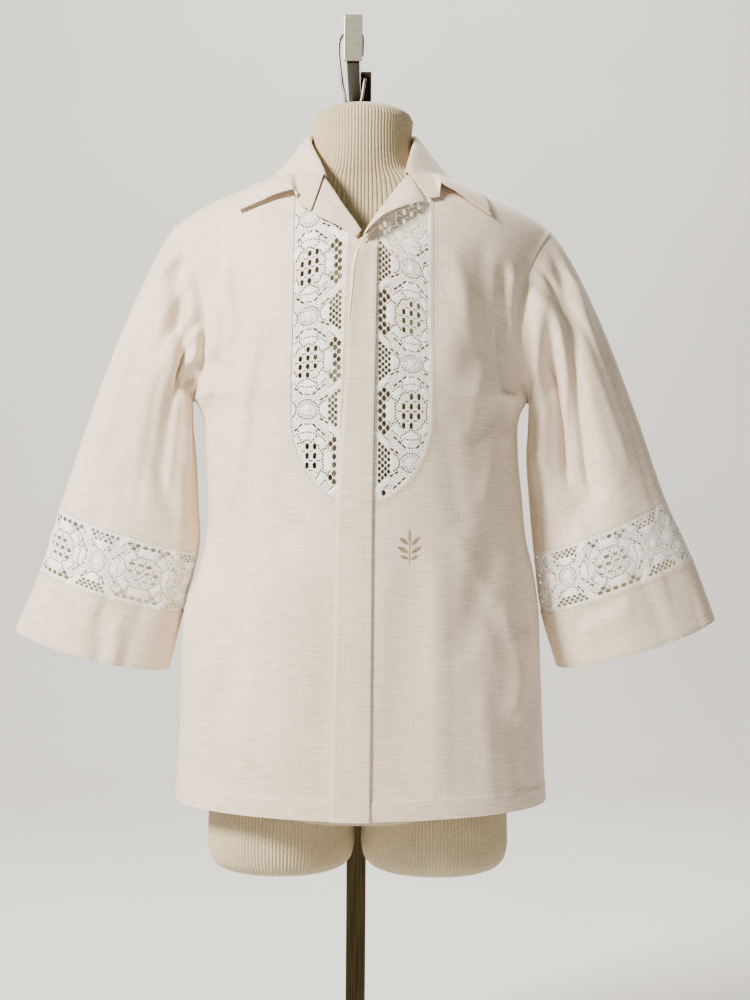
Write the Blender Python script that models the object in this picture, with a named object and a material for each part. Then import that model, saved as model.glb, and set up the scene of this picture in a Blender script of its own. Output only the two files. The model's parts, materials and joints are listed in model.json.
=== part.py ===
"""Cream shirt with lace insets, worn by a limbless dress form that hangs on a steel stand.

Metres, +Z up. The origin is the middle of the base's underside. The wearer faces -Y, so the
wearer's right is at -X. Cloth pieces are cut flat, as a maker cuts them, then bent on to a
surface that is lofted through short tables of sections.
"""

import math

import bpy
import numpy as np
from mathutils.geometry import delaunay_2d_cdt

for thing in list(bpy.data.objects):
    bpy.data.objects.remove(thing, do_unlink=True)

RIGHT, LEFT = -1, 1
SIDE_NAMES = {RIGHT: "right", LEFT: "left"}

# Cloth
WALL = 0.0015
SEAM = 0.0003
REST_GAP = 0.0006
HEM_HEIGHT = 0.022
HEM_EXTRA = 0.0008

# Heights of the shirt on the stand
HEM_Z = 0.4505
UNDERARM_H = 0.929
BREAK_H = 1.108
BACK_NECK_H = 1.200
TOP_H = 1.262

# Lace
LACE_WALL = 0.0011
LACE_REPEAT = 0.1100
LACE_BAND = 0.0765


def table(columns, *rows):
    """The columns of a table as arrays, by name."""
    values = np.array(rows, dtype=float)
    return {name: values[:, i] for i, name in enumerate(columns.split())}


def smooth(keys, values, at):
    """A smooth curve through the values at the keys, read at other keys."""
    steps = np.diff(keys)
    slopes = np.diff(values) / steps
    inner = (slopes[:-1] * steps[1:] + slopes[1:] * steps[:-1]) / (steps[1:] + steps[:-1])
    tangents = np.concatenate([slopes[:1], inner, slopes[-1:]])
    at = np.clip(at, keys[0], keys[-1])
    i = np.clip(np.searchsorted(keys, at, side="right") - 1, 0, len(steps) - 1)
    t = (at - keys[i]) / steps[i]
    start, end = values[i], values[i + 1]
    start_pull, end_pull = tangents[i] * steps[i], tangents[i + 1] * steps[i]
    return (
        start * (2 * t**3 - 3 * t**2 + 1)
        + start_pull * (t**3 - 2 * t**2 + t)
        + end * (3 * t**2 - 2 * t**3)
        + end_pull * (t**3 - t**2)
    )


def ease(t):
    """0 up to 1, level at both ends."""
    t = np.clip(t, 0, 1)
    return t * t * (3 - 2 * t)


# Sleeves, from the armhole (along 0) to the lace (1), the cuff (1.25) and its edge (1.5).
# The over line runs down the outside of the arm and the under line down its inside.
LACE_TOP, LACE_BOTTOM, CUFF_BOTTOM = 1.0, 1.25, 1.5
SLEEVES = {
    RIGHT: table(
        "along over_x over_z under_x under_z",
        (0.00, 0.2275, 1.1360, 0.1990, 0.9310),
        (0.05, 0.2350, 1.1245, 0.2065, 0.9275),
        (0.15, 0.2480, 1.1000, 0.2050, 0.9130),
        (0.40, 0.2850, 1.0180, 0.1985, 0.8720),
        (0.70, 0.3250, 0.9090, 0.1945, 0.8100),
        (1.00, 0.3590, 0.8030, 0.1935, 0.7500),
        (1.25, 0.3810, 0.7290, 0.2110, 0.6800),
        (1.50, 0.4100, 0.6570, 0.2275, 0.6110),
    ),
    LEFT: table(
        "along over_x over_z under_x under_z",
        (0.00, 0.2275, 1.1360, 0.1990, 0.9310),
        (0.05, 0.2355, 1.1265, 0.2065, 0.9275),
        (0.15, 0.2490, 1.1060, 0.2050, 0.9130),
        (0.40, 0.2890, 1.0240, 0.2000, 0.8740),
        (0.70, 0.3310, 0.9160, 0.2030, 0.8160),
        (1.00, 0.3655, 0.8180, 0.2090, 0.7520),
        (1.25, 0.3970, 0.7490, 0.2180, 0.6820),
        (1.50, 0.4250, 0.6750, 0.2370, 0.6170),
    ),
}
SLEEVE_DEPTH = table(
    "along front back front_inset back_inset front_drop",
    (0.00, 0.060, 0.055, 0.031, 0.018, 0.000),
    (0.12, 0.059, 0.054, 0.016, 0.010, 0.001),
    (0.30, 0.057, 0.052, 0.004, 0.003, 0.002),
    (0.60, 0.053, 0.050, 0.001, 0.001, 0.005),
    (1.00, 0.049, 0.048, 0.000, 0.000, 0.008),
    (1.50, 0.047, 0.047, 0.000, 0.000, 0.009),
)

# Folds of a sleeve: where each starts and ends, its width and how far out it stands.
SLEEVE_FOLDS = {
    RIGHT: table(
        "turn_start along_start turn_end along_end width depth",
        (2.10, 0.16, 1.95, 0.75, 0.30, -0.010),
        (2.60, 0.10, 2.55, 0.55, 0.22, 0.005),
        (1.10, 0.10, 1.35, 0.95, 0.40, -0.005),
        (4.40, 0.18, 4.20, 0.90, 0.35, -0.008),
        (5.20, 0.15, 5.00, 1.20, 0.40, 0.004),
        (1.45, 1.15, 1.55, 1.60, 0.30, 0.003),
    ),
    LEFT: table(
        "turn_start along_start turn_end along_end width depth",
        (1.85, 0.18, 1.80, 0.95, 0.42, -0.014),
        (1.35, 0.12, 1.25, 0.95, 0.24, 0.004),
        (2.75, 0.05, 2.60, 0.60, 0.25, 0.005),
        (4.50, 0.18, 4.30, 0.90, 0.35, -0.008),
        (5.30, 0.15, 5.10, 1.20, 0.40, 0.004),
        (1.60, 1.10, 1.70, 1.60, 0.30, 0.003),
    ),
}


def dent(a, b, folds, columns):
    """How far the folds of a table stand out at points of a piece."""
    a_start, b_start, a_end, b_end = (folds[name] for name in columns)
    total = np.zeros_like(a)
    for i in range(len(a_start)):
        run_a, run_b = a_end[i] - a_start[i], b_end[i] - b_start[i]
        along = ((a - a_start[i]) * run_a + (b - b_start[i]) * run_b) / (run_a**2 + run_b**2)
        near = np.clip(along, 0, 1)
        off = np.hypot(a - a_start[i] - near * run_a, b - b_start[i] - near * run_b)
        fade = ease((along + 0.15) / 0.3) * ease((1.15 - along) / 0.3)
        total += folds["depth"][i] * fade * np.exp(-((off / folds["width"][i]) ** 2))
    return total


def unit(vectors):
    return vectors / np.maximum(np.linalg.norm(vectors, axis=-1, keepdims=True), 1e-12)


def bare_sleeve(side, turn, along):
    """Points round a sleeve: turn 0 is its over line, a half turn its under line, the front between."""
    shape = SLEEVES[side]
    over_x, over_z, under_x, under_z = (
        smooth(shape["along"], shape[name], along) for name in ("over_x", "over_z", "under_x", "under_z")
    )
    front, back, front_inset, back_inset, front_drop = (
        smooth(SLEEVE_DEPTH["along"], SLEEVE_DEPTH[name], along)
        for name in ("front", "back", "front_inset", "back_inset", "front_drop")
    )
    sine, cosine = np.sin(turn), np.cos(turn)
    depth = np.where(sine > 0, front, back)
    inset = np.where(sine > 0, front_inset, back_inset) * sine**2
    x = (over_x + under_x) / 2 + (over_x - under_x) / 2 * cosine - inset
    z = (over_z + under_z) / 2 + (over_z - under_z) / 2 * cosine - front_drop * sine
    return np.stack([side * x, -depth * sine, z], axis=-1)


def normals(surface, facing, a, b, step=1e-4):
    along_a = surface(a + step, b) - surface(a - step, b)
    along_b = surface(a, b + step) - surface(a, b - step)
    return facing * unit(np.cross(along_a, along_b))


def sleeve(side):
    """The sleeve's surface with its folds, which fade out at the armhole."""
    names = ("turn_start", "along_start", "turn_end", "along_end")

    def surface(turn, along):
        out = normals(lambda a, b: bare_sleeve(side, a, b), side, turn, along)
        depth = dent(np.mod(turn, 2 * np.pi), along, SLEEVE_FOLDS[side], names) * ease(along / 0.12)
        return bare_sleeve(side, turn, along) + out * depth[..., None]

    return surface


def armhole(side, turn):
    return bare_sleeve(side, turn, np.zeros_like(turn))


# The fronts: rows from the hem up to the shoulder seam. A row leaves its inner point, heads for
# its corner and ends at the side seam or the armhole. Height is measured up the middle.
FRONT = table(
    "height inner_right inner_left inner_y inner_z corner_x corner_y corner_lift round",
    (0.4505, 0.0000, 0.0000, -0.1300, 0.4505, 0.2190, -0.1300, 0.0000, 0.60),
    (0.5600, 0.0000, 0.0000, -0.1310, 0.5600, 0.2150, -0.1310, 0.0000, 0.60),
    (0.6800, 0.0000, 0.0000, -0.1320, 0.6800, 0.2110, -0.1320, 0.0000, 0.58),
    (0.7650, 0.0000, 0.0000, -0.1330, 0.7650, 0.1900, -0.1330, 0.0000, 0.57),
    (0.8600, 0.0000, 0.0000, -0.1340, 0.8600, 0.1880, -0.1340, 0.0000, 0.56),
    (0.9290, 0.0000, 0.0000, -0.1350, 0.9290, 0.1990, -0.1350, 0.0000, 0.56),
    (1.0000, 0.0000, 0.0000, -0.1345, 1.0000, 0.1500, -0.1360, 0.0060, 0.58),
    (1.0600, 0.0000, 0.0000, -0.1310, 1.0600, 0.1350, -0.1340, 0.0080, 0.60),
    (1.1080, -0.0030, 0.0030, -0.1250, 1.1080, 0.1350, -0.1270, 0.0080, 0.60),
    (1.1460, 0.0190, 0.0240, -0.1030, 1.1460, 0.1420, -0.1120, 0.0060, 0.60),
    (1.1860, 0.0430, 0.0500, -0.0780, 1.1840, 0.1550, -0.0860, 0.0060, 0.60),
    (1.2250, 0.0610, 0.0640, -0.0400, 1.2000, 0.1750, -0.0460, 0.0070, 0.60),
    (1.2620, 0.0710, 0.0710, 0.0000, 1.2070, 0.1950, 0.0000, 0.0070, 0.60),
)
BACK = table(
    "height inner_right inner_left inner_y inner_z corner_x corner_y corner_lift round",
    (0.4505, 0.0000, 0.0000, 0.1280, 0.4505, 0.2190, 0.1280, 0.0000, 0.60),
    (0.5600, 0.0000, 0.0000, 0.1250, 0.5600, 0.2150, 0.1250, 0.0000, 0.60),
    (0.6800, 0.0000, 0.0000, 0.1210, 0.6800, 0.2110, 0.1210, 0.0000, 0.58),
    (0.7650, 0.0000, 0.0000, 0.1190, 0.7650, 0.1900, 0.1190, 0.0000, 0.57),
    (0.8600, 0.0000, 0.0000, 0.1190, 0.8600, 0.1880, 0.1190, 0.0000, 0.56),
    (0.9290, 0.0000, 0.0000, 0.1210, 0.9290, 0.1990, 0.1210, 0.0000, 0.56),
    (1.0000, 0.0000, 0.0000, 0.1220, 1.0000, 0.1550, 0.1250, 0.0060, 0.58),
    (1.0600, 0.0000, 0.0000, 0.1205, 1.0600, 0.1400, 0.1240, 0.0080, 0.60),
    (1.1200, 0.0000, 0.0000, 0.1130, 1.1200, 0.1400, 0.1160, 0.0080, 0.60),
    (1.1700, 0.0000, 0.0000, 0.0950, 1.1690, 0.1500, 0.0980, 0.0060, 0.60),
    (1.2000, 0.0000, 0.0000, 0.0740, 1.1980, 0.1600, 0.0760, 0.0060, 0.60),
    (1.2320, 0.0530, 0.0530, 0.0500, 1.2040, 0.1780, 0.0480, 0.0070, 0.60),
    (1.2620, 0.0710, 0.0710, 0.0000, 1.2070, 0.1950, 0.0000, 0.0070, 0.60),
)

# The side seams below the armholes.
SIDES = table(
    "height right left rise",
    (0.4505, 0.2165, 0.2230, 0.0095),
    (0.5600, 0.2120, 0.2185, 0.0030),
    (0.6300, 0.2110, 0.2160, 0.0000),
    (0.6900, 0.2060, 0.2130, 0.0000),
    (0.7250, 0.1930, 0.2080, 0.0000),
    (0.7650, 0.1830, 0.1990, 0.0000),
    (0.8200, 0.1820, 0.1930, 0.0000),
    (0.8800, 0.1860, 0.1880, 0.0000),
    (0.9050, 0.1875, 0.1885, 0.0004),
    (0.9200, 0.1925, 0.1930, 0.0010),
    (0.9290, 0.1990, 0.1990, 0.0020),
)

# The largest folds of the fronts and the back: where each starts and ends, its width and depth.
# Across is measured from the middle along the cloth, with the wearer's right negative.
FRONT_FOLDS = table(
    "across_start height_start across_end height_end width depth",
    (-0.128, 1.040, -0.150, 0.820, 0.010, 0.0040),
    (-0.190, 1.020, -0.195, 0.900, 0.014, -0.0060),
    (0.185, 1.080, 0.190, 0.900, 0.013, -0.0080),
    (0.125, 1.090, 0.100, 0.960, 0.022, 0.0045),
    (0.085, 0.760, 0.090, 0.480, 0.010, 0.0020),
    (0.170, 0.780, 0.120, 0.640, 0.020, -0.0040),
    (0.215, 0.660, 0.190, 0.560, 0.014, 0.0045),
    (-0.170, 0.760, -0.140, 0.560, 0.026, -0.0040),
    (-0.100, 0.740, -0.080, 0.470, 0.030, 0.0030),
    (0.060, 0.740, 0.045, 0.480, 0.024, -0.0025),
)
BACK_FOLDS = table(
    "across_start height_start across_end height_end width depth",
    (-0.150, 1.080, -0.130, 0.640, 0.022, 0.0050),
    (0.155, 1.070, 0.120, 0.600, 0.024, 0.0055),
    (-0.060, 0.980, -0.070, 0.470, 0.030, -0.0040),
    (0.040, 0.900, 0.055, 0.460, 0.026, 0.0035),
    (-0.190, 0.700, -0.170, 0.470, 0.022, 0.0050),
    (0.200, 0.720, 0.185, 0.480, 0.020, -0.0040),
    (0.185, 1.060, 0.195, 0.900, 0.014, -0.0060),
    (-0.190, 1.060, -0.198, 0.900, 0.014, -0.0060),
)
PANEL_FOLD_COLUMNS = ("across_start", "height_start", "across_end", "height_end")
SEAM_FADE = 0.020

ROW_SAMPLES = 41


def bezier(controls, t):
    start, first, second, end = controls
    return (1 - t) ** 3 * start + 3 * t * (1 - t) ** 2 * first + 3 * t**2 * (1 - t) * second + t**3 * end


def row_curve(panel, side, height):
    """The four controls of the rows at these heights, and how far across their samples lie."""
    rows = BACK if panel == "back" else FRONT
    facing_turn = -1 if panel == "back" else 1
    inner_x = smooth(rows["height"], rows["inner_" + SIDE_NAMES[side]], height)
    inner_y, inner_z, corner_x, corner_y, lift, pull = (
        smooth(rows["height"], rows[name], height)
        for name in ("inner_y", "inner_z", "corner_x", "corner_y", "corner_lift", "round")
    )
    inner = np.stack([side * inner_x, inner_y, inner_z], axis=-1)
    side_x = smooth(SIDES["height"], SIDES[SIDE_NAMES[side]], height)
    side_z = height + smooth(SIDES["height"], SIDES["rise"], height)
    seam = np.stack([side * side_x, np.zeros_like(height), side_z], axis=-1)
    climb = np.clip((height - UNDERARM_H) / (TOP_H - UNDERARM_H), 0, 1)
    edge = armhole(side, facing_turn * np.pi * (1 - climb))
    outer = np.where((height <= UNDERARM_H)[..., None], seam, edge)
    sideways = np.where(height <= UNDERARM_H, side_x, corner_x)
    corner = np.stack([side * sideways, corner_y, (inner_z + outer[..., 2]) / 2 + lift], axis=-1)
    pull = pull[..., None]
    controls = (inner, inner + pull * (corner - inner), outer + pull * (corner - outer), outer)
    line = bezier(controls, np.linspace(0, 1, ROW_SAMPLES)[:, None, None])
    steps = np.linalg.norm(np.diff(line, axis=0), axis=-1)
    reach = np.concatenate([np.zeros((1, len(height))), np.cumsum(steps, axis=0)])
    return controls, inner_x + reach


def bare_panel(panel, across, height):
    across, height = np.broadcast_arrays(np.asarray(across, float), np.asarray(height, float))
    shape = across.shape
    across, height = across.ravel(), height.ravel()
    points = np.empty((len(across), 3))
    for side in (RIGHT, LEFT):
        mine = across < 0 if side == RIGHT else across >= 0
        if not mine.any():
            continue
        controls, reach = row_curve(panel, side, height[mine])
        wanted = side * across[mine]
        i = np.clip((reach <= wanted).sum(axis=0) - 1, 0, ROW_SAMPLES - 2)
        columns = np.arange(len(wanted))
        start, end = reach[i, columns], reach[i + 1, columns]
        t = (i + (wanted - start) / (end - start)) / (ROW_SAMPLES - 1)
        points[mine] = bezier(controls, t[:, None])
    return points.reshape(*shape, 3)


def body(panel):
    """The surface of the fronts or of the back, with its folds."""
    facing = -1 if panel == "back" else 1
    folds = BACK_FOLDS if panel == "back" else FRONT_FOLDS

    def surface(across, height):
        across, height = np.broadcast_arrays(np.asarray(across, float), np.asarray(height, float))
        bare = bare_panel(panel, across, height)
        out = normals(lambda a, b: bare_panel(panel, a, b), facing, across, height, step=1e-3)
        right = outer_edge(panel, RIGHT, height.ravel()).reshape(height.shape)
        left = outer_edge(panel, LEFT, height.ravel()).reshape(height.shape)
        spare = np.where(across < 0, right, left) - np.abs(across)
        depth = dent(across, height, folds, PANEL_FOLD_COLUMNS) * ease(spare / SEAM_FADE)
        return bare + out * depth[..., None]

    return surface


def inner_edge(side, height):
    """How far across a front's roll line or neckline is."""
    return smooth(FRONT["height"], FRONT["inner_" + SIDE_NAMES[side]], height)


def outer_edge(panel, side, height):
    """How far across the side seam or the armhole is, along the cloth."""
    return row_curve(panel, side, np.atleast_1d(np.asarray(height, float)))[1][-1]


def inside(points, loop):
    """Which points lie inside a closed loop."""
    x, y = points[:, 0], points[:, 1]
    result = np.zeros(len(points), dtype=bool)
    for (x0, y0), (x1, y1) in zip(loop, np.roll(loop, -1, axis=0)):
        crosses = (y0 > y) != (y1 > y)
        if y0 != y1:
            result ^= crosses & (x < (x1 - x0) * (y - y0) / (y1 - y0) + x0)
    return result


def off_loop(points, loop):
    """How far each point lies from a closed loop."""
    start, end = loop, np.roll(loop, -1, axis=0)
    run = end - start
    away = points[:, None, :] - start[None]
    t = np.clip((away * run).sum(-1) / np.maximum((run * run).sum(-1), 1e-18), 0, 1)
    return np.linalg.norm(away - t[..., None] * run, axis=-1).min(axis=1)


def cut_flat(outline, holes, spacing, extra=None):
    """A flat piece cut to its outline, with its holes, as points and triangles."""
    loops = [np.asarray(outline, float)] + [np.asarray(hole, float) for hole in holes]
    low, high = loops[0].min(axis=0), loops[0].max(axis=0)
    grid = np.stack(
        np.meshgrid(
            np.arange(low[0] + spacing[0] / 2, high[0], spacing[0]),
            np.arange(low[1] + spacing[1] / 2, high[1], spacing[1]),
        ),
        axis=-1,
    ).reshape(-1, 2)
    keep = inside(grid, loops[0])
    for loop in loops:
        keep &= off_loop(grid, loop) > 0.4 * min(spacing)
    for hole in loops[1:]:
        keep &= ~inside(grid, hole)
    grid = grid[keep]
    if extra is not None:
        fits = inside(extra, loops[0])
        for loop in loops:
            fits &= off_loop(extra, loop) > 0.005
        for hole in loops[1:]:
            fits &= ~inside(extra, hole)
        extra = extra[fits]
        away = np.linalg.norm(grid[:, None] - extra[None], axis=-1).min(axis=1)
        grid = np.concatenate([grid[away > 0.5 * min(spacing)], extra])
    points = np.concatenate(loops + [grid])
    edges, start = [], 0
    for loop in loops:
        count = len(loop)
        edges += [(start + i, start + (i + 1) % count) for i in range(count)]
        start += count
    made = delaunay_2d_cdt([tuple(point) for point in points], edges, [], 0, 1e-9)
    flat = np.array([tuple(point) for point in made[0]])
    triangles = np.array([face for face in made[2] if len(face) == 3])
    middles = flat[triangles].mean(axis=1)
    keep = inside(middles, loops[0])
    for hole in loops[1:]:
        keep &= ~inside(middles, hole)
    return flat, triangles[keep]


def rim_of(triangles):
    """The edges that only one triangle has, each the way that its triangle runs."""
    edges = np.concatenate([triangles[:, [0, 1]], triangles[:, [1, 2]], triangles[:, [2, 0]]])
    back = {(b, a) for a, b in edges.tolist()}
    return [(a, b) for a, b in edges.tolist() if (a, b) not in back]


def material(name, colour, roughness, metallic=0.0):
    made = bpy.data.materials.get(name)
    if made is None:
        made = bpy.data.materials.new(name)
        made.use_nodes = True
        shader = made.node_tree.nodes["Principled BSDF"]
        shader.inputs["Base Color"].default_value = (*colour, 1)
        shader.inputs["Roughness"].default_value = roughness
        shader.inputs["Metallic"].default_value = metallic
    return made


def add_object(name, points, faces, finish):
    mesh = bpy.data.meshes.new(name)
    mesh.from_pydata([tuple(point) for point in points], [], [tuple(face) for face in faces])
    mesh.update()
    mesh.shade_smooth()
    mesh.set_sharp_from_angle(angle=math.radians(40))
    made = bpy.data.objects.new(name, mesh)
    made.data.materials.append(finish)
    bpy.context.scene.collection.objects.link(made)
    return made


def thick(name, surface, facing, flat, triangles, low, high, finish):
    """A solid wall of cloth between two offsets from a surface."""
    a, b = flat[:, 0], flat[:, 1]
    middle = surface(a, b)
    out = normals(surface, facing, a, b, step=5e-4)
    low = low(a, b) if callable(low) else np.full(len(a), low)
    high = high(a, b) if callable(high) else np.full(len(a), high)
    points = np.concatenate([middle + out * high[:, None], middle + out * low[:, None]])
    count = len(flat)
    if facing < 0:
        triangles = triangles[:, ::-1]
    faces = [tuple(face) for face in triangles.tolist()]
    faces += [(c + count, b + count, a + count) for a, b, c in triangles.tolist()]
    faces += [(b, a, a + count, b + count) for a, b in rim_of(triangles)]
    return add_object(name, points, faces, finish)


def grid_flat(a_values, b_values):
    """A flat grid, one column for each a, whose b values may be given per column."""
    b_values = np.broadcast_to(b_values, (len(a_values), np.shape(b_values)[-1]))
    columns, rows = b_values.shape
    a_values = np.asarray(a_values)
    if a_values.ndim == 1:
        a_values = np.repeat(a_values[:, None], rows, axis=1)
    flat = np.stack([a_values, b_values], axis=-1).reshape(-1, 2)
    triangles = []
    for i in range(columns - 1):
        for j in range(rows - 1):
            corner = i * rows + j
            triangles.append((corner, corner + rows, corner + rows + 1))
            triangles.append((corner, corner + rows + 1, corner + 1))
    return flat, np.array(triangles)


def tube(name, surface, facing, turns, alongs, low, high, finish):
    """A wall that closes round on itself, such as a sleeve or a cuff."""
    columns, rows = len(turns), alongs.shape[1]
    a = np.repeat(turns[:, None], rows, axis=1).ravel()
    b = alongs.ravel()
    middle = surface(a, b)
    out = normals(surface, facing, a, b)
    points = np.concatenate([middle + out * high, middle + out * low])
    count = columns * rows
    faces = []
    for i in range(columns):
        j = (i + 1) % columns
        for k in range(rows - 1):
            quad = (i * rows + k, j * rows + k, j * rows + k + 1, i * rows + k + 1)
            faces.append(quad if facing > 0 else quad[::-1])
            faces.append(tuple(v + count for v in (quad[::-1] if facing > 0 else quad)))
        for k, flip in ((0, True), (rows - 1, False)):
            rim = (i * rows + k, j * rows + k, j * rows + k + count, i * rows + k + count)
            faces.append(rim if (facing > 0) != flip else rim[::-1])
    return add_object(name, points, faces, finish)


def run(start, end, count):
    return np.linspace(start, end, count)


# Finishes
CLOTH = material("cream cloth", (0.80, 0.72, 0.64), 0.75)
LACE = material("white lace", (0.88, 0.85, 0.80), 0.85)
JERSEY = material("ribbed jersey", (0.74, 0.70, 0.62), 0.9)
STEEL = material("brushed steel", (0.45, 0.42, 0.38), 0.38, metallic=1.0)
WIRE = material("dark wire", (0.10, 0.10, 0.10), 0.45, metallic=1.0)

HALF_SEAM = SEAM / 2
FRONT_OUTER = WALL / 2 + REST_GAP
ROLL_SETBACK = 0.0036
NECK_SETBACK = 0.0018
FRONTS_MEET = 0.003

# How far apart a panel's points are, across and up, and over the chest and shoulders
FRONT_SPACING, FRONT_UPPER_SPACING = (0.028, 0.034), 0.020
BACK_SPACING, BACK_UPPER_SPACING = (0.036, 0.042), 0.025
CHEST_H = 1.050

# The placket: its free left edge and its seam, across the front.
PLACKET = table(
    "height free_edge seam",
    (0.4485, -0.0303, 0.0140),
    (0.6200, -0.0265, 0.0146),
    (0.8260, -0.0231, 0.0150),
    (0.9440, -0.0158, 0.0165),
    (1.0500, -0.0111, 0.0180),
    (1.0800, -0.0085, 0.0185),
    (1.0980, -0.0030, 0.0186),
)

# The bib: a U cut from each front and filled with lace.
BIB_HALF_WIDTH = {RIGHT: 0.0780, LEFT: 0.0815}
BIB_CURVE_H = 0.905
BIB_CURVE_DROP = 0.100
BIB_TOP_INNER = {RIGHT: 1.120, LEFT: 1.128}
BIB_TOP_OUTER = 1.188
BIB_INNER = {RIGHT: (0.0152, 0.0304), LEFT: (0.0191, -0.0120)}
BIB_INNER_H = 1.087


def hem_high(a, b):
    return WALL / 2 + HEM_EXTRA * ease((HEM_Z + HEM_HEIGHT - b) / 0.001 + 0.5)


def hem_low(a, b):
    return -WALL / 2 + 0 * a


def bib_inner(side, height):
    start, slope = BIB_INNER[side]
    return start + (BIB_INNER_H - height) * slope


def bib_outline(side, grow, curve_points=12, edge_points=9):
    """The bib lace's outline on one side, grown or shrunk by the seam."""
    wide, drop = BIB_HALF_WIDTH[side] + grow, BIB_CURVE_DROP + grow
    inner_low = bib_inner(side, BIB_CURVE_H - drop) - grow
    start_turn = math.acos(inner_low / wide)
    turns = run(start_turn, 0, curve_points)
    curve = np.stack([wide * np.cos(turns), BIB_CURVE_H - drop * np.sin(turns)], axis=-1)
    inner_top = bib_inner(side, BIB_TOP_INNER[side])
    slope = (BIB_TOP_OUTER - BIB_TOP_INNER[side]) / (BIB_HALF_WIDTH[side] - inner_top)
    rise = grow * math.hypot(1, slope)
    top_outer = np.array([wide, BIB_TOP_OUTER + slope * grow + rise])
    top_inner = np.array([inner_top - grow, BIB_TOP_INNER[side] - slope * grow + rise])
    up = run(0, 1, edge_points)[1:, None] * (top_outer - curve[-1]) + curve[-1]
    over = run(0, 1, 6)[1:, None] * (top_inner - top_outer) + top_outer
    down = run(0, 1, edge_points + 3)[1:-1, None] * (curve[0] - top_inner) + top_inner
    loop = np.concatenate([curve, up, over, down])
    return loop * [side, 1]


def side_heights():
    """Where the side seam and the armhole have points."""
    return np.concatenate([run(HEM_Z, UNDERARM_H, 15), run(UNDERARM_H, TOP_H - HALF_SEAM, 14)[1:]])


def upper_points(low, high, spacing):
    """Closer points over the chest, shoulders and underarms, where the cloth bends most."""
    across, height = np.meshgrid(np.arange(low, high, spacing), np.arange(CHEST_H, TOP_H, 0.9 * spacing))
    return np.stack([across.ravel(), height.ravel()], axis=-1)


def front_outline(side):
    """A front's cut edge: hem, side seam, armhole, shoulder, neckline, roll line and middle."""
    meet = FRONTS_MEET * side - HALF_SEAM
    heights = side_heights()
    outer = outer_edge("front", side, heights) - HALF_SEAM
    hem_across = run(-meet, outer[0], 11)[:-1]
    hem = np.stack([hem_across, np.full_like(hem_across, HEM_Z)], axis=-1)
    side_line = np.stack([outer, heights], axis=-1)
    top_across = run(outer[-1], inner_edge(side, TOP_H) + NECK_SETBACK, 8)[1:]
    shoulder = np.stack([top_across, np.full_like(top_across, TOP_H - HALF_SEAM)], axis=-1)
    neck_heights = run(TOP_H - HALF_SEAM, BREAK_H + ROLL_SETBACK, 13)[1:]
    near_roll = ease((BREAK_H + 0.09 - neck_heights) / 0.03)
    setback = NECK_SETBACK + (ROLL_SETBACK - NECK_SETBACK) * near_roll
    neck = np.stack([inner_edge(side, neck_heights) + setback, neck_heights], axis=-1)
    middle_heights = run(BREAK_H - 0.004, HEM_Z, 14)[:-1]
    middle = np.stack([np.full_like(middle_heights, -meet), middle_heights], axis=-1)
    loop = np.concatenate([hem, side_line, shoulder, neck, middle])
    return loop * [side, 1]


def hem_creases(low, high):
    """Two rows of points where the hem's fold ends."""
    across = np.arange(low + 0.006, high - 0.006, 0.024)
    heights = (HEM_Z + HEM_HEIGHT, HEM_Z + HEM_HEIGHT + 0.0011)
    return np.concatenate([np.stack([across, np.full(len(across), h)], axis=-1) for h in heights])


def make_front(side):
    outline = front_outline(side)
    hole = bib_outline(side, HALF_SEAM)
    low, high = outline[:, 0].min(), outline[:, 0].max()
    extra = np.concatenate([hem_creases(low, high), upper_points(low, high, FRONT_UPPER_SPACING)])
    flat, triangles = cut_flat(outline, [hole], FRONT_SPACING, extra)
    thick("front_" + SIDE_NAMES[side], body("front"), 1, flat, triangles, hem_low, hem_high, CLOTH)


def make_back():
    """The back, in one piece from side to side, with its neckline cut out."""
    loops = []
    for side in (RIGHT, LEFT):
        heights = side_heights()
        outer = outer_edge("back", side, heights) - HALF_SEAM
        hem_across = run(0, outer[0], 9)[:-1]
        hem = np.stack([hem_across, np.full_like(hem_across, HEM_Z)], axis=-1)
        side_line = np.stack([outer, heights], axis=-1)
        top_across = run(outer[-1], BACK["inner_left"][-1] + NECK_SETBACK, 8)[1:]
        shoulder = np.stack([top_across, np.full_like(top_across, TOP_H - HALF_SEAM)], axis=-1)
        neck_heights = run(TOP_H - HALF_SEAM, BACK_NECK_H, 9)[1:]
        neck_across = smooth(BACK["height"], BACK["inner_left"], neck_heights) + NECK_SETBACK
        neck = np.stack([neck_across, neck_heights], axis=-1)
        loops.append(np.concatenate([hem, side_line, shoulder, neck]) * [side, 1])
    outline = np.concatenate([loops[1], loops[0][1:][::-1]])
    low, high = outline[:, 0].min(), outline[:, 0].max()
    extra = np.concatenate([hem_creases(low, high), upper_points(low, high, BACK_UPPER_SPACING)])
    flat, triangles = cut_flat(outline, [], BACK_SPACING, extra)
    thick("back", body("back"), -1, flat, triangles, hem_low, hem_high, CLOTH)


# The lace. Its repeat runs along the band: a medallion with a waffle of holes, then a daisy.
# Net fills both edges of the band. Across is measured from the band's middle line.
HOLE_MARGIN = 0.0016
WAFFLE_ROWS = table("across count shift", (-0.0087, 3, -0.5), (0.0, 4, 0.0), (0.0087, 3, 0.5))
WAFFLE_PITCH = 0.0103
WAFFLE_HOLE = np.array([0.0070, 0.0045])
NET_HOLES = (-0.0110, 0.0, 0.0110, 0.0490, 0.0600)
NET_HOLE = np.array([0.0068, 0.0060])
NET_EDGE = 0.0062


def oblong(along, across, size):
    return np.array([along, across]) + np.array([(1, 1), (-1, 1), (-1, -1), (1, -1)]) * size / 2


def diamond(along, across, size):
    return np.array([along, across]) + np.array([(1, 0), (0, 1), (-1, 0), (0, -1)]) * size / 2


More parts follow.
